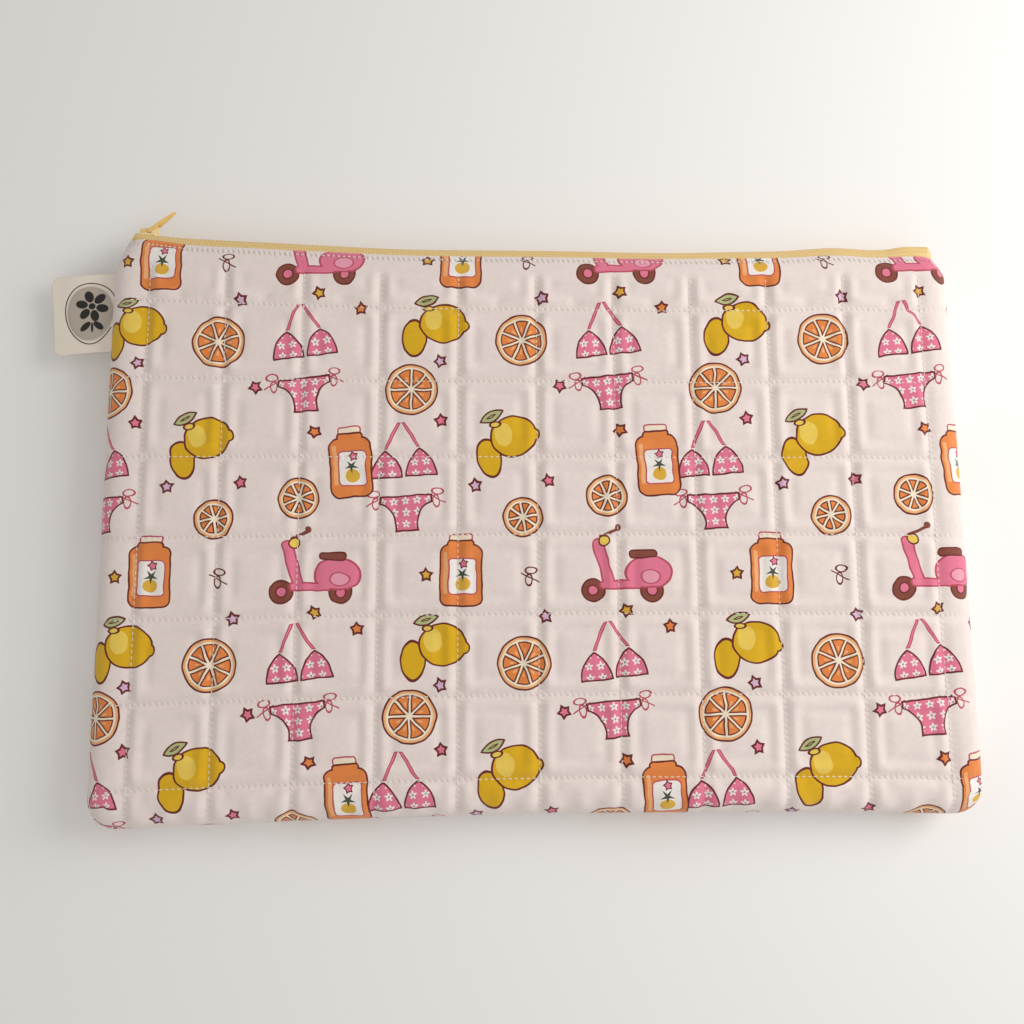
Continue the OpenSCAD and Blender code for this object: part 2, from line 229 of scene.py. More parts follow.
def flat_lines(low, high, origin):
    """The grid lines of a flat stretch, placed so that every line of quilting is one of them."""
    first = math.ceil((low - origin) / STEP)
    last = math.floor((high - origin) / STEP)
    return origin + STEP * np.arange(first, last + 1)


def columns():
    """X of each grid line, and where it lies on the cloth laid flat."""
    flat = flat_lines(-HALF_WIDE + EDGE_RUN + 0.6, HALF_WIDE - EDGE_RUN - 0.6, QUILT_X)
    edge = HALF_WIDE - EDGE_IN
    cloth = HALF_WIDE - EDGE_RUN + EDGE_ALONG[-1] - EDGE_ALONG[:-1]
    return np.concatenate([-edge, flat, edge[::-1]]), np.concatenate([-cloth, flat, cloth[::-1]])


def rows():
    """Y of each grid line, its height over the middle plane, and where it lies on the cloth laid flat."""
    edge = BOTTOM_Y + EDGE_IN
    edge_cloth = BOTTOM_Y + EDGE_RUN - EDGE_ALONG[-1] + EDGE_ALONG[:-1]
    flat = flat_lines(BOTTOM_Y + EDGE_RUN + 0.6, BEND_Y - 0.5, QUILT_Y)
    lip_y = BEND_Y + BEND_R * np.sin(LIP_ANGLES)
    lip_s = BEND_Z - MID_Z + BEND_R * np.cos(LIP_ANGLES)
    turn = LIP_BEND + FOLD_ANGLES
    fold_y = BEND_Y + (BEND_R - FOLD_R) * math.sin(LIP_BEND) + FOLD_R * np.sin(turn)
    fold_s = BEND_Z - MID_Z + (BEND_R - FOLD_R) * math.cos(LIP_BEND) + FOLD_R * np.cos(turn)
    cloth = np.concatenate([
        edge_cloth, flat, BEND_Y + BEND_R * LIP_ANGLES,
        BEND_Y + BEND_R * LIP_BEND + FOLD_R * FOLD_ANGLES
    ])
    height = np.concatenate([np.full(len(edge) + len(flat), RISE), lip_s, fold_s])
    return np.concatenate([edge, flat, lip_y, fold_y]), height, cloth


COL_X, COL_CLOTH = columns()
ROW_Y, ROW_HEIGHT, ROW_CLOTH = rows()
FOLD_ROWS = len(FOLD_ANGLES)


def seam_ring(x, y):
    """How near a point is to the seam, which is at 1, and the parts of that to the side and the bottom."""
    p = np.clip((abs(x) - (HALF_WIDE - CORNER_R)) / CORNER_R, 0, 1)
    q = np.clip((BOTTOM_Y + CORNER_R - y) / CORNER_R, 0, 1)
    return np.maximum(p, q), p, q


def round_corners(x, y):
    """Bends the square grid round the bottom corners, so that its rings follow the seam."""
    ring, p, q = seam_ring(x, y)
    turn = np.minimum(p, q) / np.maximum(ring, 1e-9) * math.pi / 4
    near, far = ring * np.cos(turn), ring * np.sin(turn)
    corner = (p > 0) & (q > 0)
    round_x = np.sign(x) * (HALF_WIDE - CORNER_R + CORNER_R * np.where(p >= q, near, far))
    round_y = BOTTOM_Y + CORNER_R - CORNER_R * np.where(p >= q, far, near)
    return np.where(corner, round_x, x), np.where(corner, round_y, y)


def narrow(x, y):
    """Brings the sides in towards the zip, and slants the two shoulders beside it."""
    up = (y - BOTTOM_Y) / (ZIP_Y - BOTTOM_Y)
    taper = np.where(x < 0, TAPER_LEFT, TAPER)
    start, reach, depth = [np.where(x < 0, *pair) for pair in zip(SHOULDER_LEFT, SHOULDER_RIGHT)]
    t = (y - start) / reach
    shoulder = depth * (np.sqrt(t ** 2 + 0.01) + t) / 2
    near_side = smooth((abs(x) - SHOULDER_X) / (HALF_WIDE - SHOULDER_X))
    return x * (1 - taper / HALF_WIDE * up) - np.sign(x) * shoulder * near_side


def edge_rise(ring):
    """The height of the round edge, from 0 on the seam to 1 where the wall is flat."""
    out = np.clip(1 - (1 - ring) * CORNER_R / EDGE_RUN, 0, 1)
    return np.sqrt(1 - out ** 2)


def skew(x, y, lip=1.0):
    """How the cloth at x, y is moved: it lies askew, sags with the zip, and lies back as part of a lip."""
    low = (ZIP_Y - y) / (ZIP_Y - BOTTOM_Y)
    side = x / HALF_WIDE
    inside = 1 - (x / SAG_HALF) ** 2
    sag = SAG * (np.sqrt(inside ** 2 + SAG_SOFT) + inside) / 2
    for place, width, depth in SAG_WAVES:
        sag = sag + depth * bell(x - place, width)
    dx = SKEW_X * low
    dy = low * (DROP_Y + TILT_Y * side + BOW_Y * (1 - side ** 2))
    from_left, to_right = smooth((x + 190) / 30), smooth((x - 70) / 100)
    set_back = LIP_BACK * from_left + LIP_BACK_RIGHT * to_right
    set_back = set_back * smooth((ZIP_Y - 0.4 - y) / 3.4)
    set_back = set_back * np.exp(np.minimum(y - MOUTH_Y, 0) / LIP_BACK_REACH) * lip
    return dx, dy - sag * np.exp(np.minimum(y - ZIP_Y, 0) / SAG_REACH) - set_back


def askew(points, lip=1.0):
    """The same for an array of points (..., 3), in place."""
    dx, dy = skew(points[..., 0], points[..., 1], lip)
    points[..., 0] += dx
    points[..., 1] += dy
    return points


def surface_normals(points):
    """Unit normals of a grid of points, pointing up on the front wall."""
    along = np.gradient(points, axis=0)
    across = np.gradient(points, axis=1)
    normal = np.cross(along, across)
    return normal / np.maximum(np.linalg.norm(normal, axis=-1, keepdims=True), 1e-12)


def seam_distance(value, origin):
    """Distance to the nearest line of quilting."""
    return abs((value - origin + PITCH / 2) % PITCH - PITCH / 2)


# ---------------------------------------------------------------- puffs of the quilting

SIM_STEP = PITCH / 10    # spacing of the simulated cloth
SIM_FRAMES = 20
SIM_X = QUILT_X + SIM_STEP * np.arange(-51, 52)
SIM_Y = QUILT_Y + SIM_STEP * np.arange(-33, 38)


def stitched_panel():
    """A flat panel a little larger than the sleeve, with a group of the points that are stitched down."""
    gx, gy = np.meshgrid(SIM_X, SIM_Y, indexing="ij")
    verts = np.stack([gx, gy, 0 * gx], -1).reshape(-1, 3) * MM
    quads = grid_quads(np.arange(len(verts)).reshape(gx.shape))
    mesh = bpy.data.meshes.new("puffs")
    mesh.from_pydata(verts.tolist(), [], quads.tolist())
    panel = bpy.data.objects.new("puffs", mesh)
    bpy.context.scene.collection.objects.link(panel)
    stitched = (seam_distance(gx, QUILT_X) < 0.1) | (seam_distance(gy, QUILT_Y) < 0.1)
    stitched[[0, -1], :] = True
    stitched[:, [0, -1]] = True
    pins = panel.vertex_groups.new(name="stitched")
    pins.add(np.flatnonzero(stitched.ravel()).tolist(), 1.0, "REPLACE")
    return panel


def set_cloth(cloth):
    """A light, slightly stretchy cotton under pressure, held where it is stitched."""
    cloth.quality = 6
    cloth.mass = 0.1
    cloth.tension_stiffness = 12
    cloth.compression_stiffness = 12
    cloth.bending_stiffness = 0.4
    cloth.vertex_group_mass = "stitched"
    cloth.shrink_min = -0.02
    cloth.use_pressure = True
    cloth.uniform_pressure_force = 3
    cloth.effector_weights.gravity = 0


def simulate_puffs():
    """The height of each point of the panel after a cloth simulation has blown its squares up."""
    panel = stitched_panel()
    set_cloth(panel.modifiers.new("puff", "CLOTH").settings)
    for step in range(1, SIM_FRAMES + 1):
        bpy.context.scene.frame_set(step)
    shown = panel.evaluated_get(bpy.context.evaluated_depsgraph_get())
    height = np.array([v.co.z for v in shown.data.vertices]).reshape(len(SIM_X), len(SIM_Y)) / MM
    bpy.context.scene.frame_set(1)
    bpy.data.objects.remove(panel)
    return height


def smooth_lookup(height, x, y):
    """Looks the panel's heights up with a cubic filter, so that no facets of the coarse grid show."""
    u = np.clip((x - SIM_X[0]) / SIM_STEP, 1, len(SIM_X) - 2.001)
    v = np.clip((y - SIM_Y[0]) / SIM_STEP, 1, len(SIM_Y) - 2.001)
    i, j = np.floor(u).astype(int), np.floor(v).astype(int)

    def weights(t):
        return [((2 - t) * t - 1) * t / 2, (t * t * (3 * t - 5) + 2) / 2,
                ((4 - 3 * t) * t + 1) * t / 2, (t - 1) * t * t / 2]

    total = 0
    for a, wa in enumerate(weights(u - i)):
        for b, wb in enumerate(weights(v - j)):
            ii = np.clip(i + a - 1, 0, len(SIM_X) - 1)
            jj = np.clip(j + b - 1, 0, len(SIM_Y) - 1)
            total = total + height[ii, jj] * wa * wb
    return total


PUFFS = simulate_puffs()
PUFF_H = 1.25            # height of a puff's middle over its plain shape
PUFF_SUNK = 0.25         # and how far the whole square is drawn down
VALLEY_WIDE = 2.4        # how far from the stitching the valley reaches
PUCKER_WIDE = 4.5
PUCKER_PITCH = 5.2
PUCKER_H = 0.13


def quilted(x, y):
    """How far the cotton stands out of its plain shape at x, y, before the edges calm it."""
    puff = smooth_lookup(PUFFS / max(PUFFS.max(), 1e-6), x, y)
    near_x, near_y = seam_distance(x, QUILT_X), seam_distance(y, QUILT_Y)
    valley = bell(near_x, VALLEY_WIDE) + bell(near_y, VALLEY_WIDE)

    def puckers(near, along, seed):
        beat = np.sin(2 * math.pi * along / PUCKER_PITCH + 3 * noise(x, y, 40, seed))
        return bell(near, PUCKER_WIDE) * beat * (near > 0.8)

    strength = 0.5 + 0.5 * noise(x, y, 26, 7)
    pucker = PUCKER_H * strength * (puckers(near_x, y, 5) + puckers(near_y, x, 6))
    return PUFF_H * puff - VALLEY * np.minimum(valley, 1) + pucker - PUFF_SUNK


def soft_folds(x, y):
    """Long soft dents and rolls in the empty sleeve: place, direction, length, width and height."""
    folds = [
        (190, -84, 62, 30, 6.0, 1.1), (183, -58, 40, 26, 5.0, -0.9), (196, -106, 70, 22, 5.0, 0.9),
        (-186, 96, 100, 24, 7.0, -0.8), (-190, -112, 35, 26, 6.0, 0.9), (150, 118, 10, 30, 5.0, 0.7),
        (-60, -122, 8, 60, 6.0, 0.7), (90, -126, 172, 50, 5.0, 0.8), (40, 40, 40, 60, 16.0, 0.7),
        (-90, -20, 120, 70, 18.0, -0.7), (120, -60, 20, 50, 14.0, 0.6), (-40, 90, 160, 60, 15.0, 0.6)
    ]
    total = 0
    for fx, fy, turn, length, width, height in folds:
        c, s = math.cos(math.radians(turn)), math.sin(math.radians(turn))
        along = (x - fx) * c + (y - fy) * s
        across = (y - fy) * c - (x - fx) * s
        total = total + height * np.exp(-(along / length) ** 2 - (across / width) ** 2)
    return total + 0.35 * noise(x, y, 55, 11) + 0.15 * noise(x, y, 19, 12)


def plain_wall():
    """The grid of the front wall's plain outer surface, before puffs and before it lies askew."""
    gx, gy = np.meshgrid(COL_X, ROW_Y, indexing="ij")
    x, y = round_corners(gx, gy)
    ring, _, _ = seam_ring(gx, gy)
    rise = edge_rise(ring)
    s = ROW_HEIGHT[None, :] * rise
    groove = GROOVE * bell(s, GROOVE)
    on_side = (ring > 0) & (abs(gx) > HALF_WIDE - CORNER_R)
    on_bottom = (ring > 0) & (gy < BOTTOM_Y + CORNER_R)
    side_x = x - np.sign(x) * groove * on_side
    side_y = y + groove * on_bottom
    return np.stack([narrow(side_x, side_y), side_y, np.maximum(s, seam_gap(gx, gy))], -1), ring


def seam_gap(x, y):
    """Half the gap between the two walls at the seam: a hair, or room for the label."""
    beside = smooth((LABEL_HIGH[1] + 1.2 - y) / 1.5) * smooth((y - LABEL_LOW[1] + 1.2) / 1.5)
    return SEAM_HAIR + LABEL_ROOM * beside * (x < 0)


PLAIN, RING = plain_wall()
SEAM_GAP = seam_gap(*np.meshgrid(COL_X, ROW_Y, indexing="ij"))
PLAIN_NORMAL = surface_normals(PLAIN)


def wall_relief():
    """How far each grid point of the cotton stands out of the plain shape, and how free it is to do so."""
    gx, gy = np.meshgrid(COL_X, ROW_CLOTH, indexing="ij")
    calm_edge = smooth((1 - RING) * CORNER_R / 6.5)
    calm_zip = smooth((BEND_Y + 2 - gy) / 9)
    relief = quilted(gx, gy) * calm_edge * calm_zip
    near_edge = bell((1 - RING) * CORNER_R - 5, 3.0)
    ripple = noise(gx, gy, 9, 21) * near_edge * 0.16
    relief += (soft_folds(gx, gy) * calm_edge + ripple) * (0.3 + 0.7 * calm_zip)
    return relief, calm_edge * calm_zip


RELIEF, FREE = wall_relief()


STITCH_ROW = BEND_Y + BEND_R * math.radians(27)


def lip_puckers(gx, gy):
    """Short ridges between the zip and the stitches beside it."""
    near = bell(gy - STITCH_ROW, 2.4)
    beat = np.sin(2 * math.pi * gx / 5.0 + 2.5 * noise(gx, gy, 30, 31))
    dip = -0.2 * bell(gy - STITCH_ROW, 0.9)
    return near * 0.12 * beat * (0.6 + 0.4 * noise(gx, gy, 17, 32)) + dip


def lip_relief():
    """How far each grid point stands out of the plain shape beside the zip."""
    gx, gy = np.meshgrid(COL_X, ROW_CLOTH, indexing="ij")
    inside = smooth((gy - BEND_Y) / 3) * (gy < BEND_Y + BEND_R * LIP_BEND + 0.5)
    return lip_puckers(gx, gy) * inside * (abs(gx) < ZIP_HALF - 4)


LIP_RELIEF = lip_relief()


def wall_points(depth, relief=1.0, back=False):
    """Grid points of one surface of a wall, at a depth in it and following part of the cotton's relief."""
    out = relief * (RELIEF + LIP_RELIEF)
    if back:
        out = relief * (RELIEF[::-1] + LIP_RELIEF) - BACK_FLATTER * RELIEF.max() * FREE
    points = PLAIN + PLAIN_NORMAL * (out - depth)[..., None]
    points[..., 2] = np.maximum(points[..., 2], SEAM_GAP)
    if back:
        points[..., 2] = np.minimum(points[..., 2], MID_Z)
    points = askew(points)
    points[..., 2] = MID_Z - points[..., 2] if back else MID_Z + points[..., 2]
    return points


def cloth_map():
    """Where each grid point lies on the cloth laid flat."""
    gx, gy = np.meshgrid(COL_CLOTH, ROW_CLOTH, indexing="ij")
    dx, dy = skew(gx, np.minimum(gy, ZIP_Y))
    return np.stack([narrow(gx, np.minimum(gy, ZIP_Y)) + dx, gy + dy], -1)


CLOTH = cloth_map()


# ---------------------------------------------------------------- making meshes

def add_map(mesh, name, uvs):
    """Adds a UV map, from one pair of millimetres per point."""
    corners = np.zeros(len(mesh.loops), np.int64)
    mesh.loops.foreach_get("vertex_index", corners)
    layer = mesh.uv_layers.new(name=name)
    layer.data.foreach_set("uv", (np.asarray(uvs) * MM)[corners].astype(np.float32).ravel())


def make_object(name, verts, faces, material, uvs=None, smooth_shade=True):
    """A mesh object from points in millimetres; uvs are one pair per point, in millimetres of cloth."""
    mesh = bpy.data.meshes.new(name)
    mesh.from_pydata((np.asarray(verts) * MM).tolist(), [], [tuple(f) for f in faces])
    if uvs is not None:
        add_map(mesh, "cloth", uvs)
    mesh.polygons.foreach_set("use_smooth", [smooth_shade] * len(mesh.polygons))
    mesh.materials.append(material)
    mesh.validate()
    piece = bpy.data.objects.new(name, mesh)
    bpy.context.scene.collection.objects.link(piece)
    return piece


def shell(name, outer, inner, uv, material, flip=False, inner_uv=None):
    """A closed thin solid between two grids of points."""
    verts = np.concatenate([outer.reshape(-1, 3), inner.reshape(-1, 3)])
    inner_uv = uv if inner_uv is None else inner_uv
    uvs = np.concatenate([uv.reshape(-1, 2), inner_uv.reshape(-1, 2)])
    return make_object(name, verts, leaf_faces(outer.shape[:2], flip), material, uvs)


def cut_size(outer, inner):
    """The width and length, in metres, that a sheet has when it is measured along its own middle."""
    middle = (outer + inner) / 2
    width = np.linalg.norm(np.diff(middle, axis=0), axis=-1).sum(0).mean()
    length = np.linalg.norm(np.diff(middle, axis=1), axis=-1).sum(1).mean()
    return float(width * MM), float(length * MM)


class Bits:
    """Many small closed meshes gathered into one piece."""

    def __init__(self):
        self.verts = []
        self.faces = []
        self.count = 0

    def add(self, verts, faces):
        self.verts.append(np.asarray(verts, float))
        self.faces.extend([[i + self.count for i in face] for face in faces])
        self.count += len(verts)

    def tube(self, path, radius, sides, squash=1.0):
        """A round cord along a path, with closed ends. radius is one number or one per point."""
        path = np.asarray(path, float)
        radius = np.broadcast_to(radius, len(path))
        ahead = np.gradient(path, axis=0)
        ahead /= np.maximum(np.linalg.norm(ahead, axis=1, keepdims=True), 1e-12)
        side = np.cross(ahead, [0.0, 0.13, 0.99])
        side /= np.maximum(np.linalg.norm(side, axis=1, keepdims=True), 1e-12)
        up = np.cross(side, ahead)
        turn = 2 * math.pi * np.arange(sides) / sides
        ring = (np.cos(turn)[None, :, None] * side[:, None] +
                squash * np.sin(turn)[None, :, None] * up[:, None])
        verts = (path[:, None] + ring * radius[:, None, None]).reshape(-1, 3)
        faces = []
        for i in range(len(path) - 1):
            for k in range(sides):
                a, b = i * sides + k, i * sides + (k + 1) % sides
                faces.append([a, a + sides, b + sides, b])
        faces.append(list(range(sides)))
        faces.append(list(range(len(path) * sides - 1, (len(path) - 1) * sides - 1, -1)))
        self.add(verts, faces)

    def piece(self, name, material, smooth_shade=True):
        verts = np.concatenate(self.verts)
        return make_object(name, verts, self.faces, material, verts[:, :2], smooth_shade)


# ---------------------------------------------------------------- materials

def colour(red, green, blue):
    """A colour given in the usual 0 to 255, as the renderer's linear numbers."""
    parts = [c / 255 for c in (red, green, blue)]
    return [c / 12.92 if c < 0.04045 else ((c + 0.055) / 1.055) ** 2.4 for c in parts] + [1.0]


class Field:
    """A number that varies over a surface. Arithmetic on it adds Math nodes to its tree."""

    def __init__(self, tree, socket):
        self.tree = tree
        self.socket = socket

    def do(self, operation, *others):
        node = self.tree.nodes.new("ShaderNodeMath")
        node.operation = operation
        for socket, value in zip(node.inputs, (self, *others)):
            if isinstance(value, Field):
                self.tree.links.new(value.socket, socket)
            else:
                socket.default_value = value
        return Field(self.tree, node.outputs[0])

    def __add__(self, other):
        return self.do("ADD", other)

    def __sub__(self, other):
        return self.do("SUBTRACT", other)

    def __mul__(self, other):
        return self.do("MULTIPLY", other)

    def __neg__(self):
        return self.do("MULTIPLY", -1.0)

    def low(self, other):
        return self.do("MINIMUM", other)

    def high(self, other):
        return self.do("MAXIMUM", other)


class Place:
    """A position on a surface, in millimetres."""

    def __init__(self, tree, socket):
        self.tree = tree
        self.socket = socket
        self.parts = None

    def do(self, operation, value=(0, 0, 0), other=(0, 0, 0), scale=None):
        node = self.tree.nodes.new("ShaderNodeVectorMath")
        node.operation = operation
        self.tree.links.new(self.socket, node.inputs[0])
        for socket, given in ((node.inputs[1], value), (node.inputs[2], other)):
            if isinstance(given, Place):
                self.tree.links.new(given.socket, socket)
            elif len(given) == 3:
                socket.default_value = given
        if scale is not None:
            node.inputs["Scale"].default_value = scale
        if operation in ("LENGTH", "DISTANCE", "DOT_PRODUCT"):
            return Field(self.tree, node.outputs["Value"])
        return Place(self.tree, node.outputs["Vector"])

    def xy(self):
        if self.parts is None:
            node = self.tree.nodes.new("ShaderNodeSeparateXYZ")
            self.tree.links.new(self.socket, node.inputs[0])
            self.parts = [Field(self.tree, node.outputs[k]) for k in (0, 1)]
        return self.parts

    def turned(self, place, degrees, scale=1.0):
        """The position seen from a place that is itself turned and scaled."""
        node = self.tree.nodes.new("ShaderNodeMapping")
        node.vector_type = "TEXTURE"
        self.tree.links.new(self.socket, node.inputs["Vector"])
        node.inputs["Location"].default_value = (*place, 0)
        node.inputs["Rotation"].default_value = (0, 0, math.radians(degrees))
        node.inputs["Scale"].default_value = (scale, scale, scale)
        return Place(self.tree, node.outputs[0])

    def circle(self, x, y, r):
        return self.do("DISTANCE", (x, y, 0)) - r

    def ellipse(self, x, y, rx, ry):
        squashed = self.do("SUBTRACT", (x, y, 0)).do("MULTIPLY", (1 / rx, 1 / ry, 1))
        return (squashed.do("LENGTH") - 1.0) * min(rx, ry)

    def box(self, x, y, half_x, half_y, r):
        beyond = self.do("SUBTRACT", (x, y, 0)).do("ABSOLUTE")
        beyond = beyond.do("SUBTRACT", (half_x - r, half_y - r, 0)).do("MAXIMUM", (0, 0, 0))
        return beyond.do("LENGTH") - r

    def beside(self, x, y, degrees):
        """Distance past a straight line through a point, whose outside faces that way."""
        a = math.radians(degrees)
        nx, ny = math.cos(a), math.sin(a)
        return self.do("DOT_PRODUCT", (nx, ny, 0)) - (x * nx + y * ny)

    def around(self):
        """Distance from the middle, and the angle from straight up."""
        x, y = self.xy()
        return self.do("LENGTH"), x.do("ARCTAN2", y)


def new_material(name):
    """A material with its tree and its shader."""
    material = bpy.data.materials.new(name)
    material.use_nodes = True
    tree = material.node_tree
    return material, tree, tree.nodes["Principled BSDF"]


def set_inputs(node, values):
    """Sets a node's plain numbers or colours, given by the names of their sockets."""
    for name, value in values.items():
        node.inputs[name].default_value = value


def cloth_place(tree, layer="cloth"):
    """The position on the cloth laid flat."""
    node = tree.nodes.new("ShaderNodeUVMap")
    node.uv_map = layer
    return Place(tree, node.outputs[0]).do("SCALE", scale=1 / MM)


def object_place(tree):
    """The position in space, for what isn't cut from flat cloth."""
    node = tree.nodes.new("ShaderNodeTexCoord")
    return Place(tree, node.outputs["Object"]).do("SCALE", scale=1 / MM)


def cloudy(place, size, detail=2.0):
    """Noise from 0 to 1 with blobs of about the given size."""
    node = place.tree.nodes.new("ShaderNodeTexNoise")
    place.tree.links.new(place.socket, node.inputs["Vector"])
    set_inputs(node, {"Scale": 1 / size, "Detail": detail})
    return Field(place.tree, node.outputs["Fac"])


def mix(factor, first, second):
    """A colour between two colours, each a constant or a socket."""
    node = factor.tree.nodes.new("ShaderNodeMix")
    node.data_type = "RGBA"
    factor.tree.links.new(factor.socket, node.inputs[0])
    for socket, value in ((node.inputs[6], first), (node.inputs[7], second)):
        if isinstance(value, bpy.types.NodeSocket):
            factor.tree.links.new(value, socket)
        else:
            socket.default_value = value
    return node.outputs[2]


def paint_base(shader, source):
    """Takes the shader's colour from another node's socket."""
    source.node.id_data.links.new(source, shader.inputs["Base Color"])


def bump(tree, shader, height, strength, distance_mm):
    """Gives the shader a fine relief from a height."""
    node = tree.nodes.new("ShaderNodeBump")
    set_inputs(node, {"Strength": strength, "Distance": distance_mm * MM})
    tree.links.new(height.socket, node.inputs["Height"])
    tree.links.new(node.outputs[0], shader.inputs["Normal"])


def weave(place, pitch):
    """Height of a plain weave: threads that pass over and under each other."""
    x, y = place.xy()
    turn = 2 * math.pi / pitch
    over = (x * turn).do("SINE") * (y * turn).do("SINE")
    threads = (x * (2 * turn)).do("COSINE") + (y * (2 * turn)).do("COSINE")
    return over + threads * 0.3


# ---- the printed cotton

TILE_X = 143.0
TILE_Y = 150.8
PRINT_TURN = 1.125       # the print runs a little across the zip
PRINT_SHIFT = (0.1, 3.2)

OUTLINE = colour(112, 42, 38)
PINK_LINE = colour(196, 84, 104)
YELLOW = colour(232, 184, 66)
LEMON = colour(232, 184, 30)
LEMON_LIGHT = colour(247, 214, 96)
LILAC = colour(226, 190, 222)
PINK = colour(238, 128, 158)
ORANGE = colour(240, 142, 74)
ORANGE_LIGHT = colour(250, 186, 128)
CREAM = colour(252, 238, 214)
GREEN = colour(188, 198, 142)
WHITE = colour(253, 248, 244)
GREY = colour(170, 160, 165)
SEAT = colour(140, 76, 62)
DARK_GREEN = colour(74, 84, 66)
GROUND = colour(247, 234, 230)


class Print:
    """Draws flat shapes one over the other on the cloth's ground colour."""

    def __init__(self, tree, ground):
        self.tree = tree
        self.colour = ground
        cloth = cloth_place(tree)
        turned = cloth.turned((-PRINT_SHIFT[0], -PRINT_SHIFT[1]), PRINT_TURN)
        wobble = tree.nodes.new("ShaderNodeTexNoise")
        wobble.inputs["Scale"].default_value = 0.13
        wobble.inputs["Detail"].default_value = 1.0
        tree.links.new(turned.socket, wobble.inputs["Vector"])
        shake = Place(tree, wobble.outputs["Color"]).do("SUBTRACT", (0.5, 0.5, 0.5))
        self.cloth = turned.do("ADD", shake.do("MULTIPLY", (1.5, 1.5, 0)))

    def motif(self, x, y, turn=0, scale=1.0):
        """The position seen from the nearest copy of a motif at x, y of the repeating print."""
        high = (x + TILE_X / 2, y + TILE_Y / 2, 1)
        low = (x - TILE_X / 2, y - TILE_Y / 2, -1)
        return self.cloth.do("WRAP", high, low).turned((x, y), turn, scale)

    def fill(self, shape, paint):
        self.colour = mix(shape.do("LESS_THAN", 0.0), self.colour, paint)

    def line(self, shape, width=0.8, paint=OUTLINE):
        self.colour = mix(shape.do("COMPARE", 0.0, width / 2), self.colour, paint)

    def shape(self, shape, paint, width=0.8, line=OUTLINE):
        self.fill(shape, paint)
        self.line(shape, width, line)


def star_shape(spot, radius, waist=0.6):
    """A five-pointed star with one point up: the distance past its edge."""
    r, angle = spot.around()
    fold = angle.do("PINGPONG", math.pi / 5)
    inner = waist * radius
    dx = inner * math.cos(math.pi / 5) - radius
    dy = inner * math.sin(math.pi / 5)
    size = math.hypot(dx, dy)
    across = (r * fold.do("COSINE") - radius) * (dy / size)
    return across + r * fold.do("SINE") * (-dx / size)


def draw_star(paint, x, y, fill, turn=0, radius=2.9):
    """A small outlined star."""
    star = star_shape(paint.motif(x, y, turn), radius)
    paint.shape(star, fill, 0.95)


def draw_lemon(paint, x, y, turn=0, scale=1.0):
    """A lemon with its leaf, and half of another behind it."""
    spot = paint.motif(x, y, turn, scale)
    behind = spot.ellipse(-13.6, -7.2, 5.6, 8.8)
    paint.shape(behind, LEMON)
    body = spot.ellipse(0, 0, 10.8, 9.4).low(spot.circle(9.6, -1.5, 2.6))
    paint.fill(body, LEMON)
    paint.fill(spot.ellipse(-4.5, 2, 4.2, 5.4), LEMON_LIGHT)
    paint.line(body)
    paint.shape(spot.ellipse(-7, 7.4, 2.4, 1.3), LEMON_LIGHT, 0.6)
    leaf = spot.circle(-6.2, 5.2, 8.6).high(spot.circle(-9.2, 16.8, 8.0))
    paint.shape(leaf, GREEN)
    paint.line(leaf + 1.9, 0.5)


def draw_slice(paint, x, y, turn=0, radius=12.0):
    """A round slice of orange with eight wedges."""
    spot = paint.motif(x, y, turn)
    r, angle = spot.around()
    rind = r - radius
    paint.shape(rind, ORANGE_LIGHT)
    paint.fill(rind + 1.4, CREAM)
    spoke = angle.do("PINGPONG", math.pi / 8)
    from_spoke = r * spoke.do("SINE")
    wedge = (r - (radius - 2.6)).high(-from_spoke + 0.75).high(-r + 1.6)
    paint.shape(wedge, ORANGE, 0.6)
    paint.fill((r * 0.5 + from_spoke * -1.6).high(r - (radius - 5.5)).high(-r + 4.5), ORANGE_LIGHT)


def daisies(spot, inside, paint, petal=WHITE):
    """Small five-petal flowers strewn inside a shape."""
    cell = spot.do("WRAP", (2.7, 2.6, 1), (-2.7, -2.6, -1))
    r, angle = cell.around()
    petals = r - ((angle * 5.0).do("COSINE") * 0.55 + 1.45)
    paint.fill(petals.high(inside + 0.5), petal)
    paint.fill((r - 0.5).high(inside + 0.5), GREY)


def draw_top(paint, x, y, turn=0):
    """Two small cups on strings."""
    spot = paint.motif(x, y, turn)
    mirrored = spot.do("ABSOLUTE")
    _, y_part = spot.xy()
    x_part, _ = mirrored.xy()
    upper = mirrored.beside(7.5, 7, 28).do("ABSOLUTE") - 0.55
    upper = upper.high(y_part * -1.0 + 7.0).high(y_part - 19.0)
    paint.shape(upper, PINK, 0.5, PINK_LINE)
    flat = Place(paint.tree, join(paint.tree, x_part, y_part))
    cup = flat.circle(0.5, -6.5, 14.6).high(flat.circle(15.5, -6.5, 14.6)).high(y_part * -1.0 - 6.4)
    paint.fill(cup, PINK)
    daisies(flat, cup, paint)
    paint.line(cup)


def join(tree, x, y):
    """The position with these two parts."""
    node = tree.nodes.new("ShaderNodeCombineXYZ")
    tree.links.new(x.socket, node.inputs[0])
    tree.links.new(y.socket, node.inputs[1])
    return node.outputs[0]


def draw_bow(paint, flat, x, y, line=PINK_LINE):
    """Two loops and two tails of thin string."""
    paint.line(flat.ellipse(x + 2.4, y + 2.2, 2.6, 1.5), 0.55, line)
    paint.line(flat.ellipse(x + 1.6, y - 2.2, 1.5, 2.7), 0.55, line)
    tail = flat.beside(x, y, 62).do("ABSOLUTE").high(flat.circle(x + 2, y - 1, 4.5))
    paint.line(tail, 0.6, line)


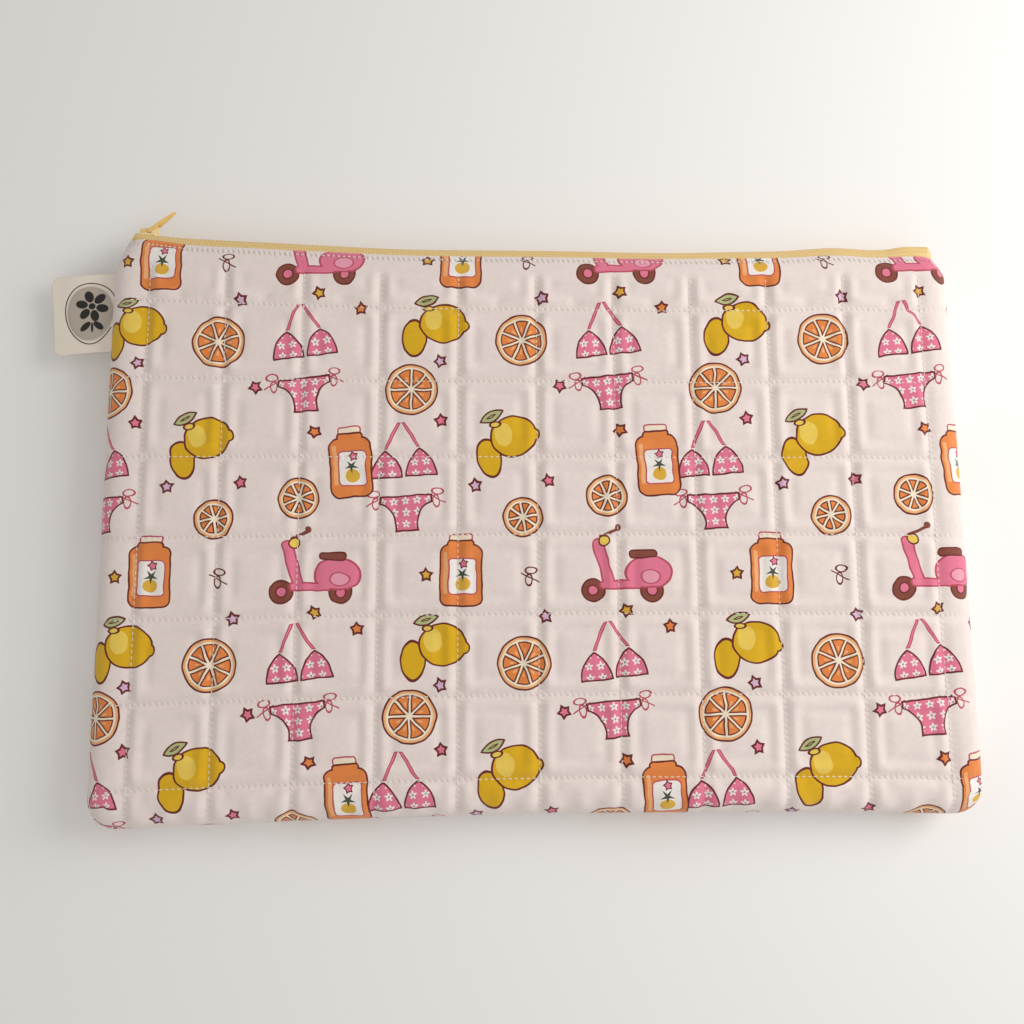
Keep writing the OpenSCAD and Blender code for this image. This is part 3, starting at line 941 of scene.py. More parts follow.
def draw_bottom(paint, x, y, turn=0):
    """The lower piece, tied with a bow on each side."""
    spot = paint.motif(x, y, turn)
    _, y_part = spot.xy()
    x_part, _ = spot.do("ABSOLUTE").xy()
    flat = Place(paint.tree, join(paint.tree, x_part, y_part))
    draw_bow(paint, flat, 12.5, 7.0)
    leg = -flat.circle(15.5, -5.5, 10.6)
    piece = leg.high(flat.beside(0, 7.6, 90)).high(flat.beside(0, -8.4, -90)).high(x_part - 12.0)
    paint.fill(piece, PINK)
    daisies(flat, piece, paint)
    paint.line(piece)


def draw_jar(paint, x, y, turn=0):
    """A squat bottle of juice with a plain picture label."""
    spot = paint.motif(x, y, turn)
    paint.shape(spot.box(0, 14.2, 5.2, 2.6, 1.2), CREAM, 0.7, PINK_LINE)
    body = spot.box(0, -2.2, 9.6, 14.0, 4.0).low(spot.box(0, 10.4, 6.0, 3.4, 1.5))
    paint.fill(body, ORANGE)
    paint.fill(spot.box(-7.2, -1, 0.9, 9.5, 0.8), ORANGE_LIGHT)
    paint.line(body)
    label = spot.box(0.6, -2.6, 6.4, 8.2, 2.0)
    paint.shape(label, WHITE, 0.6, PINK_LINE)
    paint.fill(spot.ellipse(0.6, -6.2, 3.4, 3.0), YELLOW)
    paint.fill(star_shape(spot.turned((0.6, -1.8), 36), 3.6, 0.3), DARK_GREEN)
    paint.shape(star_shape(spot.turned((1.2, 3.2), 10), 2.1), PINK, 0.5)


def draw_scooter(paint, x, y, turn=0):
    """A rounded little scooter of no make."""
    spot = paint.motif(x, y, turn)
    for wheel_x in (-14.0, 13.0):
        wheel = spot.circle(wheel_x, -14.0, 5.2)
        paint.shape(wheel, SEAT, 0.7)
        paint.shape(spot.circle(wheel_x, -14.0, 2.3), PINK, 0.6)
    shield = spot.turned((-9.5, 0), 16).box(0, -1, 2.4, 11.0, 2.2)
    tail = spot.ellipse(11.5, -6.0, 10.5, 7.6).high(spot.beside(0, -12.6, -90))
    board = spot.box(-1.0, -11.4, 9.5, 1.8, 1.4)
    body = shield.low(tail).low(board)
    paint.shape(body, PINK, 0.8, PINK_LINE)
    paint.shape(spot.ellipse(12.5, -8.0, 4.4, 3.0), colour(246, 168, 190), 0.5, PINK_LINE)
    paint.shape(spot.box(9.2, 2.6, 6.2, 1.7, 1.5), SEAT, 0.7)
    bar = spot.turned((-6.0, 12.5), 24)
    paint.fill(bar.box(0, 0, 5.2, 0.75, 0.7), SEAT)
    paint.fill(bar.circle(4.6, 0.6, 1.5), SEAT)
    paint.shape(spot.circle(-8.6, 8.6, 2.4), LEMON_LIGHT, 0.7)


def draw_print(tree):
    """The whole repeating print; returns its colour."""
    paint = Print(tree, GROUND)
    draw_star(paint, -190.7, 128.2, YELLOW)
    draw_lemon(paint, -183, 96.5)
    draw_star(paint, -184.2, 78.4, LILAC, 20)
    draw_slice(paint, -198, 64.5)
    draw_star(paint, -183.8, 49.6, PINK, 8)
    draw_top(paint, -201.5, 29.8, 4)
    draw_bottom(paint, -200, 6.5, 3)
    draw_jar(paint, -174.6, -20.5)
    draw_star(paint, 187.3, 111.5, YELLOW, 24)
    draw_top(paint, 180.4, 87.4, 7)
    draw_bottom(paint, 181.0, 63.0, 6)
    draw_star(paint, 185.9, 44.6, ORANGE, 30)
    draw_jar(paint, 203, 30.0, 4)
    draw_scooter(paint, 186, -16)
    draw_star(paint, 150, -42, LILAC, 12)
    draw_bow(paint, paint.motif(-145, 128), 0, 0, OUTLINE)
    draw_slice(paint, -146, 88, 20)
    draw_lemon(paint, -150, 42, 14)
    draw_star(paint, -128, 66, PINK, 30)
    draw_star(paint, -134, 21, PINK, 15)
    draw_star(paint, -168, 19, LILAC, 10)
    draw_slice(paint, 179, 13.5, 25, 9.4)
    draw_slice(paint, -146, 4, 10, 9)
    draw_star(paint, -222, 104, ORANGE, 5)
    return paint


def creases(across, along, pitch, first, reach):
    """0 to 1: short creases that run across a row of stitches, one at each end of a stitch."""
    beat = ((along - first + across * 0.3) * (2 * math.pi / pitch)).do("COSINE") * -0.5 + 0.5
    near = (across.do("ABSOLUTE") * (-1 / reach) + 1.0).high(0.0)
    return beat.do("POWER", 3.0) * near


def stitch_creases(tree):
    """The creases of the lip's stitches and of the quilting, which shape the bump and darken the colour as
    painted shade.
    """
    x, y = cloth_place(tree, "grid").xy()
    lip = creases(y - STITCH_ROW, x, STITCH_PITCH, FIRST_STITCH, 2.3)
    from_column = (x - (QUILT_X - PITCH / 2)).do("FLOORED_MODULO", PITCH) - PITCH / 2
    from_row = (y - (QUILT_Y - PITCH / 2)).do("FLOORED_MODULO", PITCH) - PITCH / 2
    column = creases(from_column, y, QUILT_STITCH, FIRST_QUILT_Y, 1.7)
    row = creases(from_row, x, QUILT_STITCH, FIRST_QUILT_X, 1.7)
    below_lip = (-y + (BEND_Y - 1)).high(0.0).low(1.0)
    return lip, column.high(row) * below_lip


def cotton_material():
    """The printed cotton, drawn in along its stitches, with painted shade darkening its colour in the
    creases there.
    """
    material, tree, shader = new_material("printed_cotton")
    paint = draw_print(tree)
    cloth = cloth_place(tree)
    stain = cloudy(cloth, 3.0, 4.0)
    lip, quilt = stitch_creases(tree)
    # Painted shade: the colour is darkened in the creases at the lip's stitches and, less, along the
    # quilting; the stain is the cloth's own uneven tone.
    shade = stain * 0.14 + 0.93 - lip * 0.3 - quilt * 0.1
    tint = tree.nodes.new("ShaderNodeMix")
    tint.data_type = "RGBA"
    tint.blend_type = "MULTIPLY"
    tint.inputs[0].default_value = 1.0
    tree.links.new(paint.colour, tint.inputs[6])
    grey = tree.nodes.new("ShaderNodeCombineColor")
    for k in range(3):
        tree.links.new(shade.socket, grey.inputs[k])
    tree.links.new(grey.outputs[0], tint.inputs[7])
    paint_base(shader, tint.outputs[2])
    set_inputs(shader, {"Roughness": 0.86, "Specular IOR Level": 0.25, "Sheen Weight": 0.25,
                        "Sheen Roughness": 0.5})
    threads = weave(cloth, 0.62) + cloudy(cloth, 0.9, 3.0) * 1.2
    bump(tree, shader, threads * 0.5 - lip * 3.5 - quilt * 1.8, 0.9, 0.1)
    return material


def plain_cloth(name, base, dark, pitch, roughness=0.85, height=0.12):
    """A dyed woven cloth with slight slubs."""
    material, tree, shader = new_material(name)
    cloth = cloth_place(tree)
    slubs = cloudy(cloth.do("MULTIPLY", (0.25, 1.6, 1)), 1.6, 3.0)
    paint_base(shader, mix(slubs, dark, base))
    set_inputs(shader, {"Roughness": roughness, "Specular IOR Level": 0.25, "Sheen Weight": 0.3})
    bump(tree, shader, weave(cloth, pitch) + slubs, 0.5, height)
    return material


def wadding_material():
    """Loose white fibres."""
    material, tree, shader = new_material("wadding")
    place = object_place(tree)
    fibres = cloudy(place.do("MULTIPLY", (1, 0.3, 1)), 0.7, 6.0) + cloudy(place, 4, 3) * 0.7
    paint_base(shader, mix(fibres * 0.6, colour(226, 222, 212), colour(250, 248, 243)))
    set_inputs(shader, {"Roughness": 0.95, "Sheen Weight": 0.6})
    bump(tree, shader, fibres, 0.8, 0.5)
    return material


def tape_material():
    """Woven polyester: two rows of raised cords on the slope beside the cotton, and a smooth strip. The
    slope and the tops of its cords are painted lighter as a highlight, the strip darker as painted shade,
    and the bend between them carries a painted shade line.
    """
    material, tree, shader = new_material("zip_tape")
    cloth = cloth_place(tree)
    x, y = cloth.xy()
    cords = ((x + y * 0.6) * (2 * math.pi / 1.3)).do("SINE") * 0.5 + 0.5
    rows_of = (y * (2 * math.pi / 1.6)).do("COSINE") * 0.35 + 0.65
    on_slope = ((-y + 4.9) * 3.0).low(1.0).high(0.0)
    ribs = cords * rows_of * on_slope
    speckle = cloudy(cloth, 0.5, 2.0)
    # Painted light and shade: the slope and its cords' tops are painted lighter as a highlight, the strip
    # beside the coil darker as shade; the speckle is the weave's own uneven tone.
    tone = ribs * 0.65 + on_slope * 0.2 + speckle * 0.3
    paint = mix(tone, colour(224, 168, 84), colour(255, 234, 166))
    # Painted shade: a dark line in the groove where the strip bends down to the slope.
    bend_groove_shade = ((y - 5.15).do("ABSOLUTE") * -3.0 + 1.0).high(0.0)
    paint_base(shader, mix(bend_groove_shade, paint, colour(176, 120, 50)))
    set_inputs(shader, {"Roughness": 0.6, "Sheen Weight": 0.2})
    fine = weave(cloth, 0.45)
    bump(tree, shader, ribs * 1.6 + fine * 0.2 + speckle * 0.3, 0.8, 0.16)
    return material


def coil_material():
    """Yellow nylon with a slight gloss."""
    material, tree, shader = new_material("zip_coil")
    place = object_place(tree)
    paint_base(shader, mix(cloudy(place, 1.2, 3.0), colour(232, 178, 92), colour(253, 222, 150)))
    set_inputs(shader, {"Roughness": 0.32, "Coat Weight": 0.2})
    bump(tree, shader, cloudy(place, 0.25, 2.0), 0.15, 0.05)
    return material


def metal_material():
    """Yellow enamel over cast metal, with a painted highlight that turns it paler at its edges."""
    material, tree, shader = new_material("slider_metal")
    place = object_place(tree)
    geometry = tree.nodes.new("ShaderNodeNewGeometry")
    # Painted highlight: the colour turns pale at sharp edges, broken up by noise.
    edge = Field(tree, geometry.outputs["Pointiness"]).do("SUBTRACT", 0.5) * 9.0
    edge_highlight = (edge + cloudy(place, 0.8, 4.0) * 0.6 - 0.35).do("MULTIPLY", 1.5)
    edge_highlight_share = edge_highlight.high(0.0).low(1.0)
    base = mix(cloudy(place, 2.5, 3.0), colour(240, 190, 92), colour(253, 223, 142))
    paint_base(shader, mix(edge_highlight_share, base, colour(255, 244, 196)))
    tree.links.new((cloudy(place, 0.6, 3.0) * 0.2 + 0.22).socket, shader.inputs["Roughness"])
    set_inputs(shader, {"Metallic": 0.12, "Coat Weight": 0.4, "Coat Roughness": 0.12})
    bump(tree, shader, cloudy(place, 0.7, 2.0), 0.12, 0.08)
    return material


def thread_material():
    """Pale sewing thread with its twist."""
    material, tree, shader = new_material("thread")
    place = object_place(tree)
    x, y = place.xy()
    twist = ((x + y) * (2 * math.pi / 0.45)).do("SINE")
    paint_base(shader, mix(twist * 0.3 + 0.6, colour(226, 216, 208), colour(254, 251, 247)))
    set_inputs(shader, {"Roughness": 0.6, "Sheen Weight": 0.3})
    bump(tree, shader, twist, 0.5, 0.06)
    return material


def label_material():
    """Smooth imitation leather with a fine pebble grain."""
    material, tree, shader = new_material("label")
    cloth = cloth_place(tree)
    cells = tree.nodes.new("ShaderNodeTexVoronoi")
    cells.feature = "DISTANCE_TO_EDGE"
    cells.inputs["Scale"].default_value = 1 / 0.7
    tree.links.new(cloth.socket, cells.inputs["Vector"])
    grain = Field(tree, cells.outputs["Distance"])
    tone = cloudy(cloth, 9, 3.0) * 0.7 + grain * 0.3
    plain = mix(tone, colour(240, 229, 214), colour(254, 247, 235))
    on_disc = cloth.ellipse(RING_AT, 0, RING_OUT * DISC, RING_UP * DISC)
    paint_base(shader, mix((on_disc * -1.2).low(1.0).high(0.0), plain, colour(192, 181, 168)))
    set_inputs(shader, {"Roughness": 0.52, "Specular IOR Level": 0.4})
    bump(tree, shader, grain.low(0.25) + cloudy(cloth, 0.3) * 0.2, 0.3, 0.12)
    return material


def ink_material():
    """Nearly black ink, a little uneven."""
    material, tree, shader = new_material("label_ink")
    place = object_place(tree)
    paint_base(shader, mix(cloudy(place, 0.8, 4.0), colour(18, 17, 17), colour(44, 41, 40)))
    shader.inputs["Roughness"].default_value = 0.45
    bump(tree, shader, cloudy(place, 0.3), 0.2, 0.04)
    return material


COTTON = cotton_material()
LINING = plain_cloth("lining_cotton", colour(244, 202, 212), colour(226, 172, 188), 0.55)
WADDING = wadding_material()
TAPE = tape_material()
COIL = coil_material()
METAL = metal_material()
THREAD = thread_material()
LABEL = label_material()
INK = ink_material()


# ---------------------------------------------------------------- how pieces move

def lens_weight(x):
    """The share of its lip's opening that the cloth at x follows."""
    return smooth((LENS_OUT - abs(x)) / (LENS_OUT - LENS_IN))


def bend_with_lip(piece, back):
    """The piece follows the pouch below the lip's bend, and the lip above it, except at the zip's ends."""
    lip = "back_lip" if back else "front_lip"
    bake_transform(piece, "pouch", lip, start=(0, (BEND_Y - 4) * MM, 0), end=(0, (BEND_Y + 4) * MM, 0))
    weights = piece.data.attributes["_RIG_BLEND"].data
    value = np.zeros(len(weights), np.float32)
    weights.foreach_get("value", value)
    place = np.array([v.co.x for v in piece.data.vertices]) / MM
    weights.foreach_set("value", (value * lens_weight(place)).astype(np.float32))


# ---------------------------------------------------------------- the walls

def cotton_panel(back):
    """The printed cotton of one wall, with its folded edge beside the zip."""
    side = "back" if back else "front"
    outer, inner = wall_points(0, back=back), wall_points(COTTON_T - FILM, back=back)
    panel = shell(side + "_cotton", outer, inner, CLOTH, COTTON, flip=back)
    plain = np.stack(np.meshgrid(COL_CLOTH, ROW_CLOTH, indexing="ij"), -1).reshape(-1, 2)
    add_map(panel.data, "grid", np.concatenate([plain, plain]))
    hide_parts(side + "_outer", side + "_lip_outer")
    bend_with_lip(panel, back)
    cut_size(outer, inner)


def wadding_pad(back):
    """The wadding of one wall, squeezed under every line of quilting."""
    side = "back" if back else "front"
    inside = (slice(PAD_START, -PAD_START), slice(PAD_START, -FOLD_ROWS))
    outer = wall_points(COTTON_T + FILM, back=back)[inside]
    inner = wall_points(COTTON_T + WADDING_T, INNER_RELIEF, back)[inside]
    pad = shell(side + "_wadding_pad", outer, inner, CLOTH[inside], WADDING, flip=back)
    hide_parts(side + "_wadding", side + "_lip_wadding")
    bend_with_lip(pad, back)


LINING_CLEAR = 0.12      # air between the wadding's cut edge and the lining over it


def lining_panel(back):
    """The lining of one wall. Its last rows climb to the tape, over the wadding's cut edge."""
    side = "back" if back else "front"
    inside = (slice(PAD_START, -PAD_START), slice(PAD_START, -FOLD_ROWS))
    depth = COTTON_T + WADDING_T + FILM
    outer = wall_points(depth, INNER_RELIEF, back)[inside]
    inner = wall_points(depth + LINING_T, INNER_RELIEF, back)[inside]
    tape_row = slice(-FOLD_ROWS - 1, -FOLD_ROWS)
    edge_top = wall_points(COTTON_T + 1.0, back=back)[inside[0], tape_row]
    outer = np.concatenate([outer, outer[:, -1:] * 0.45 + edge_top * 0.55, edge_top], 1)
    inner = np.concatenate([inner, inner[:, -1:] * 0.45 + edge_top * 0.55, edge_top], 1)
    outer[:, -2:, 1] += LINING_CLEAR
    inner[:, -2:, 1] += LINING_CLEAR + LINING_T
    flat = CLOTH[inside]
    climb = np.array([0, 1.4])
    flat = np.concatenate([flat, flat[:, -1:] + climb, flat[:, -1:] + climb + climb], 1)
    panel = shell(side + "_lining_panel", outer, inner, flat, LINING, flip=back)
    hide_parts(side + "_lining", side + "_lip_lining")
    bend_with_lip(panel, back)
    cut_size(outer, inner)


for is_back in (False, True):
    cotton_panel(is_back)
    wadding_pad(is_back)
    lining_panel(is_back)


# ---------------------------------------------------------------- looking places up on the walls

WALL_FRONT = wall_points(0)
WALL_BACK = wall_points(0, back=True)


def on_grid(grid, x, along):
    """The points of a wall at columns x and rows given by their place on the cloth laid flat."""
    u = np.interp(x, COL_X, np.arange(len(COL_X)))
    v = np.interp(along, ROW_CLOTH, np.arange(len(ROW_CLOTH)))
    i = np.minimum(u.astype(int), len(COL_X) - 2)
    j = np.minimum(v.astype(int), len(ROW_CLOTH) - 2)
    s, t = (u - i)[..., None], (v - j)[..., None]
    near = grid[i, j] * (1 - s) + grid[i + 1, j] * s
    far = grid[i, j + 1] * (1 - s) + grid[i + 1, j + 1] * s
    return near * (1 - t) + far * t


# ---------------------------------------------------------------- the zip

COIL_PITCH = 1.9
TAPE_T = 0.55
ROOT_A = LIP_BEND + math.radians(0.8)
ROOT_R = BEND_R - 1.0
TAPE_SLOPE_S = 5.03
STRIP_S = 4.3            # half the width of the flat strip on which the slider runs
ROOT_Y = BEND_Y + ROOT_R * math.sin(ROOT_A)
TURN_RIGHT = (192.4, 4.3, 3.6)       # where the tape starts to turn down, over what length, and how far
TURN_LEFT = (193.6, 2.6, 2.6)
COIL_Y = ZIP_Y - 1.62


def zip_end(x):
    """How the tape's ends turn down beside the side seams: how far they drop, and how narrow they get."""
    drop = 0
    for outward, (start, length, depth) in ((x, TURN_RIGHT), (-x, TURN_LEFT)):
        turned = np.clip((outward - start) / length, 0, 0.98)
        drop = drop + depth * (1 - np.sqrt(1 - turned ** 2))
    thin = 1 - 0.5 * smooth((abs(x) - (ZIP_HALF - 3)) / 3)
    return drop, thin


def mouth_rise(x):
    """The share of their height that the lips have at x, falling to nothing at the side seams."""
    inside = (ZIP_HALF + 1.0 - abs(x)) / CORNER_R
    return edge_rise(1 - np.clip(inside, 0, 1))


def strip_slope(x):
    """How the strip beside the coil slopes to the front, but lies level where the slider stands."""
    slope = 0.14 * smooth((x + 182) / 10) + 0.2 * smooth((x - 80) / 60)
    return slope * (1 - 0.92 * smooth((x - 172) / 12))


def tape_profile(inner):
    """One face of the front half's tape across the zip (y, height over the middle), from its root."""
    root = np.array([ROOT_Y, BEND_Z - MID_Z + ROOT_R * math.cos(ROOT_A)])
    bend = np.array([ZIP_Y - 0.7, TAPE_SLOPE_S])
    slope = [root + (bend - root) * t for t in (0, 0.2, 0.4, 0.6, 0.8, 0.93)]
    corner = [[ZIP_Y - 0.55, STRIP_S + 0.5], [ZIP_Y - 0.3, STRIP_S + 0.15], [ZIP_Y - 0.22, STRIP_S - 0.15]]
    strip = [[ZIP_Y, s] for s in np.linspace(STRIP_S - 0.55, 0.22, 10)]
    profile = np.array(slope + corner + strip)
    ahead = np.gradient(profile, axis=0)
    normal = np.stack([-ahead[:, 1], ahead[:, 0]], 1)
    normal /= np.linalg.norm(normal, axis=1, keepdims=True)
    return profile - normal * TAPE_T if inner else profile


def tape_surface(xs, inner):
    """Points of one face of the front half's tape, with its slope, its two ends and its bulge."""
    profile = tape_profile(inner)
    x = np.repeat(xs[:, None], len(profile), 1)
    y = np.repeat(profile[None, :, 0], len(xs), 0)
    s = np.repeat(profile[None, :, 1], len(xs), 0)
    on_strip = smooth((y - ROOT_Y) / (ZIP_Y - 0.7 - ROOT_Y))
    y = y - strip_slope(x) * s * smooth((y - BEND_Y - 11.5) / 2)
    drop, thin = zip_end(x)
    rise = mouth_rise(x)
    s = s * (rise + (1 - rise) * on_strip) * thin
    beside = np.exp(-((x + 191) / 5.5) ** 4) * bell(profile[None, :, 1] - 5.3, 0.9)
    return np.stack([x, y - drop + 1.0 * beside, s], -1)


def on_side(points, back, lip=0.0):
    """Takes points of the front's half (x, y, height over the middle) to either side, lying askew."""
    points = askew(points.copy(), lip)
    points[..., 2] = MID_Z - points[..., 2] if back else MID_Z + points[..., 2]
    return points


def zip_tape(back):
    """One side's tape, from side seam to side seam."""
    side = "back" if back else "front"
    xs = np.arange(-ZIP_HALF, ZIP_HALF + 0.01, COIL_PITCH / 4)
    outer, inner = tape_surface(xs, False), tape_surface(xs, True)
    width = run_lengths(outer[0, :, 1], outer[0, :, 2])
    uv = np.stack(np.broadcast_arrays(xs[:, None], width[None, :]), -1)
    lip = np.clip(1 - (width - 1.0) / 3.6, 0, 1)
    outer, inner = on_side(outer, back, lip), on_side(inner, back, lip)
    tape = shell(side + "_zip_tape", outer, inner, uv, TAPE, flip=not back)
    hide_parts(*(["zip_tape_back"] if back else ["zip_tape_front", "zip_tape_ends"]))
    bend_with_lip(tape, back)
    # The part inside the lip's seam isn't modelled, so it isn't in the width either
    cut_size(outer, inner)


def zip_coil(back):
    """One side's coil: a filament wound in loops, whose heads lie between the other side's."""
    side = "back" if back else "front"
    start = SLIDER_LOW[0] + 5.6
    end = ZIP_HALF - 4.0
    turns = (end - start) / COIL_PITCH
    angle = np.arange(0, turns * 2 * math.pi, 2 * math.pi / 12)
    x = start + COIL_PITCH * (angle / (2 * math.pi) + 0.16 * np.sin(angle))
    x = x + (COIL_PITCH / 2 if back else 0)
    s = 0.85 + 1.5 * np.cos(angle)
    y = COIL_Y + 0.56 * np.sin(angle) - 0.16 * np.cos(angle - math.pi)
    drop, thin = zip_end(x)
    path = on_side(np.stack([x, y - drop, s * thin], -1), back)
    bits = Bits()
    bits.tube(path, 0.33, 6)
    core = np.arange(start, end, 3.0)
    core_drop, _ = zip_end(core)
    bits.tube(on_side(np.stack([core, COIL_Y - core_drop, core * 0 + 1.25], -1), back), 0.26, 6)
    coil = bits.piece(side + "_zip_coil", COIL)
    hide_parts(*(["zip_coil_back"] if back else ["zip_coil_front", "zip_coil_end"]))
    bend_with_lip(coil, back)


def block(bits, low, high, radius):
    """A box with round edges and corners."""
    low, high = np.array(low, float), np.array(high, float)
    middle, half = (low + high) / 2, (high - low) / 2 - radius
    turns = np.radians(np.arange(11.25, 360, 22.5))
    levels = np.radians([-86, -65, -40, -16, 16, 40, 65, 86])
    verts = []
    for level in levels:
        for turn in turns:
            n = np.array([math.cos(level) * math.cos(turn), math.cos(level) * math.sin(turn),
                          math.sin(level)])
            verts.append(middle + np.sign(n) * half + radius * n)
    count = len(turns)
    faces = [[i * count + k, i * count + (k + 1) % count, (i + 1) * count + (k + 1) % count,
              (i + 1) * count + k] for i in range(len(levels) - 1) for k in range(count)]
    faces.append(list(range(count))[::-1])
    faces.append(list(range((len(levels) - 1) * count, len(levels) * count)))
    bits.add(verts, faces)


def zip_stops():
    """Moulded stops: one on each tape at the closed end, and one across both at the open end."""
    for name in ("zip_top_stops", "zip_bottom_stop"):
        low, high = cad_box(name)
        bits = Bits()
        if name == "zip_top_stops":
            for away in (-1, 1):
                near, far = sorted([MID_Z + away * 1.0, MID_Z + away * (high[2] - MID_Z)])
                block(bits, (low[0], low[1], near), (high[0], high[1], far), 0.35)
        else:
            block(bits, low, high, 0.55)
        stop = bits.piece(name + "_moulded", COIL)
        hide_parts(name)
        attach(stop, "pouch")


# ---------------------------------------------------------------- thread

def stitch_row(bits, grid, points, length, slack=0.0):
    """Stitches along a row of places (x, along the cloth) on a wall; each dips into it at both ends."""
    points = np.asarray(points, float)
    ahead = np.gradient(points, axis=0)
    ahead /= np.linalg.norm(ahead, axis=1, keepdims=True)
    shares = np.array([-0.5, -0.32, 0.0, 0.32, 0.5])
    lift = np.array([-0.3, 0.1, 0.17, 0.1, -0.3])
    places = points[:, None] + ahead[:, None] * (length * shares)[None, :, None]
    places[..., 1] += slack * shares
    on_wall = on_grid(grid, places[..., 0], places[..., 1])
    probe_x = on_grid(grid, places[..., 0] + 0.8, places[..., 1]) - on_wall
    probe_y = on_grid(grid, places[..., 0], places[..., 1] + 0.8) - on_wall
    normal = np.cross(probe_x, probe_y)
    normal /= np.maximum(np.linalg.norm(normal, axis=-1, keepdims=True), 1e-9)
    outside = 1 if grid is not WALL_BACK else -1
    paths = on_wall + normal * (lift * outside)[None, :, None]
    for path in paths:
        bits.tube(path, [0.14, 0.2, 0.22, 0.2, 0.14], 6)


def quilting(back):
    """The quilting stitches that show on the outside of one wall."""
    side = "back" if back else "front"
    grid = WALL_BACK if back else WALL_FRONT
    bits = Bits()
    ys = np.arange(FIRST_QUILT_Y, BEND_Y - 2, QUILT_STITCH)
    for i in QUILT_COLUMNS:
        stitch_row(bits, grid, np.stack([0 * ys + QUILT_X + i * PITCH, ys], 1), STITCH_LEN)
    xs = np.arange(FIRST_QUILT_X, -FIRST_QUILT_X, QUILT_STITCH)
    for j in QUILT_ROWS:
        stitch_row(bits, grid, np.stack([xs, 0 * xs + QUILT_Y + j * PITCH], 1), STITCH_LEN)
    threads = bits.piece(side + "_quilting", THREAD)
    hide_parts("quilting_" + side)
    bend_with_lip(threads, back)


def topstitch(back):
    """The row of stitches through the lip, close to its folded edge."""
    side = "back" if back else "front"
    xs = np.arange(FIRST_STITCH, ZIP_HALF - 6, STITCH_PITCH)
    bits = Bits()
    stitch_row(bits, WALL_BACK if back else WALL_FRONT, np.stack([xs, 0 * xs + STITCH_ROW], 1), 1.5, 0.5)
    threads = bits.piece(side + "_topstitch", THREAD)
    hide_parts("topstitch_" + side)
    bend_with_lip(threads, back)


for is_back in (False, True):
    zip_tape(is_back)
    zip_coil(is_back)
    quilting(is_back)
    topstitch(is_back)
zip_stops()


# ---------------------------------------------------------------- the slider and its pull

def rounded(corners, steps=5):
    """An outline from corners (x, y, radius), with an arc at each."""
    points = []
    count = len(corners)
    for k in range(count):
        here = np.array(corners[k][:2], float)
        back_way = np.array(corners[k - 1][:2], float) - here
        on_way = np.array(corners[(k + 1) % count][:2], float) - here
        back_way /= np.linalg.norm(back_way)
        on_way /= np.linalg.norm(on_way)
        half = math.acos(np.clip(back_way @ on_way, -1, 1)) / 2
        reach = corners[k][2] / math.tan(half)
        for t in np.linspace(0, 1, steps):
            start, end = here + back_way * reach, here + on_way * reach
            points.append(start * (1 - t) ** 2 + here * 2 * t * (1 - t) + end * t ** 2)
    return np.array(points)


def plate(name, outline, thickness, bevel, place):
    """A plate of that outline with soft edges; place takes (x, y, height) rows to the row frame."""
    bm = bmesh.new()
    lower = [bm.verts.new((x, y, -thickness / 2)) for x, y in outline]
    face = bm.faces.new(lower)
    made = bmesh.ops.extrude_face_region(bm, geom=[face])
    top = [g for g in made["geom"] if isinstance(g, bmesh.types.BMVert)]
    bmesh.ops.translate(bm, verts=top, vec=(0, 0, thickness))
    bmesh.ops.recalc_face_normals(bm, faces=bm.faces)
    rims = [e for e in bm.edges if len(e.link_faces) == 2 and
            max(abs(f.normal.z) for f in e.link_faces) > 0.9 and
            min(abs(f.normal.z) for f in e.link_faces) < 0.5]
    bmesh.ops.bevel(bm, geom=rims, offset=bevel, segments=3, profile=0.5, affect="EDGES",
                    clamp_overlap=True)
    points = place(np.array([v.co for v in bm.verts]))
    for vert, point in zip(bm.verts, points):
        vert.co = point * MM
    bmesh.ops.recalc_face_normals(bm, faces=bm.faces)
    mesh = bpy.data.meshes.new(name)
    bm.to_mesh(mesh)
    bm.free()
    return mesh


def merge(name, meshes, material):
    """Several meshes as one piece, shaded smooth but for its sharp edges."""
    bm = bmesh.new()
    for mesh in meshes:
        bm.from_mesh(mesh)
    mesh = bpy.data.meshes.new(name)
    bm.to_mesh(mesh)
    bm.free()
    mesh.materials.append(material)
    mesh.polygons.foreach_set("use_smooth", [True] * len(mesh.polygons))
    mesh.set_sharp_from_angle(angle=math.radians(42))
    piece = bpy.data.objects.new(name, mesh)
    bpy.context.scene.collection.objects.link(piece)
    return piece


def flat_to_zip(y_middle, x_middle=0.0, z_middle=0.0):
    """Stands a plate up so that its thickness runs along Y; its outline is (x, z)."""
    def place(points):
        return np.stack([points[:, 0] + x_middle, y_middle - points[:, 2], z_middle + points[:, 1]], 1)
    return place


def tube_mesh(name, path, radius, sides):
    """A metal bar as a mesh without an object, to be merged with others."""
    bits = Bits()
    bits.tube(path, radius, sides)
    piece = bits.piece(name, METAL)
    mesh = piece.data
    bpy.data.objects.remove(piece)
    return mesh


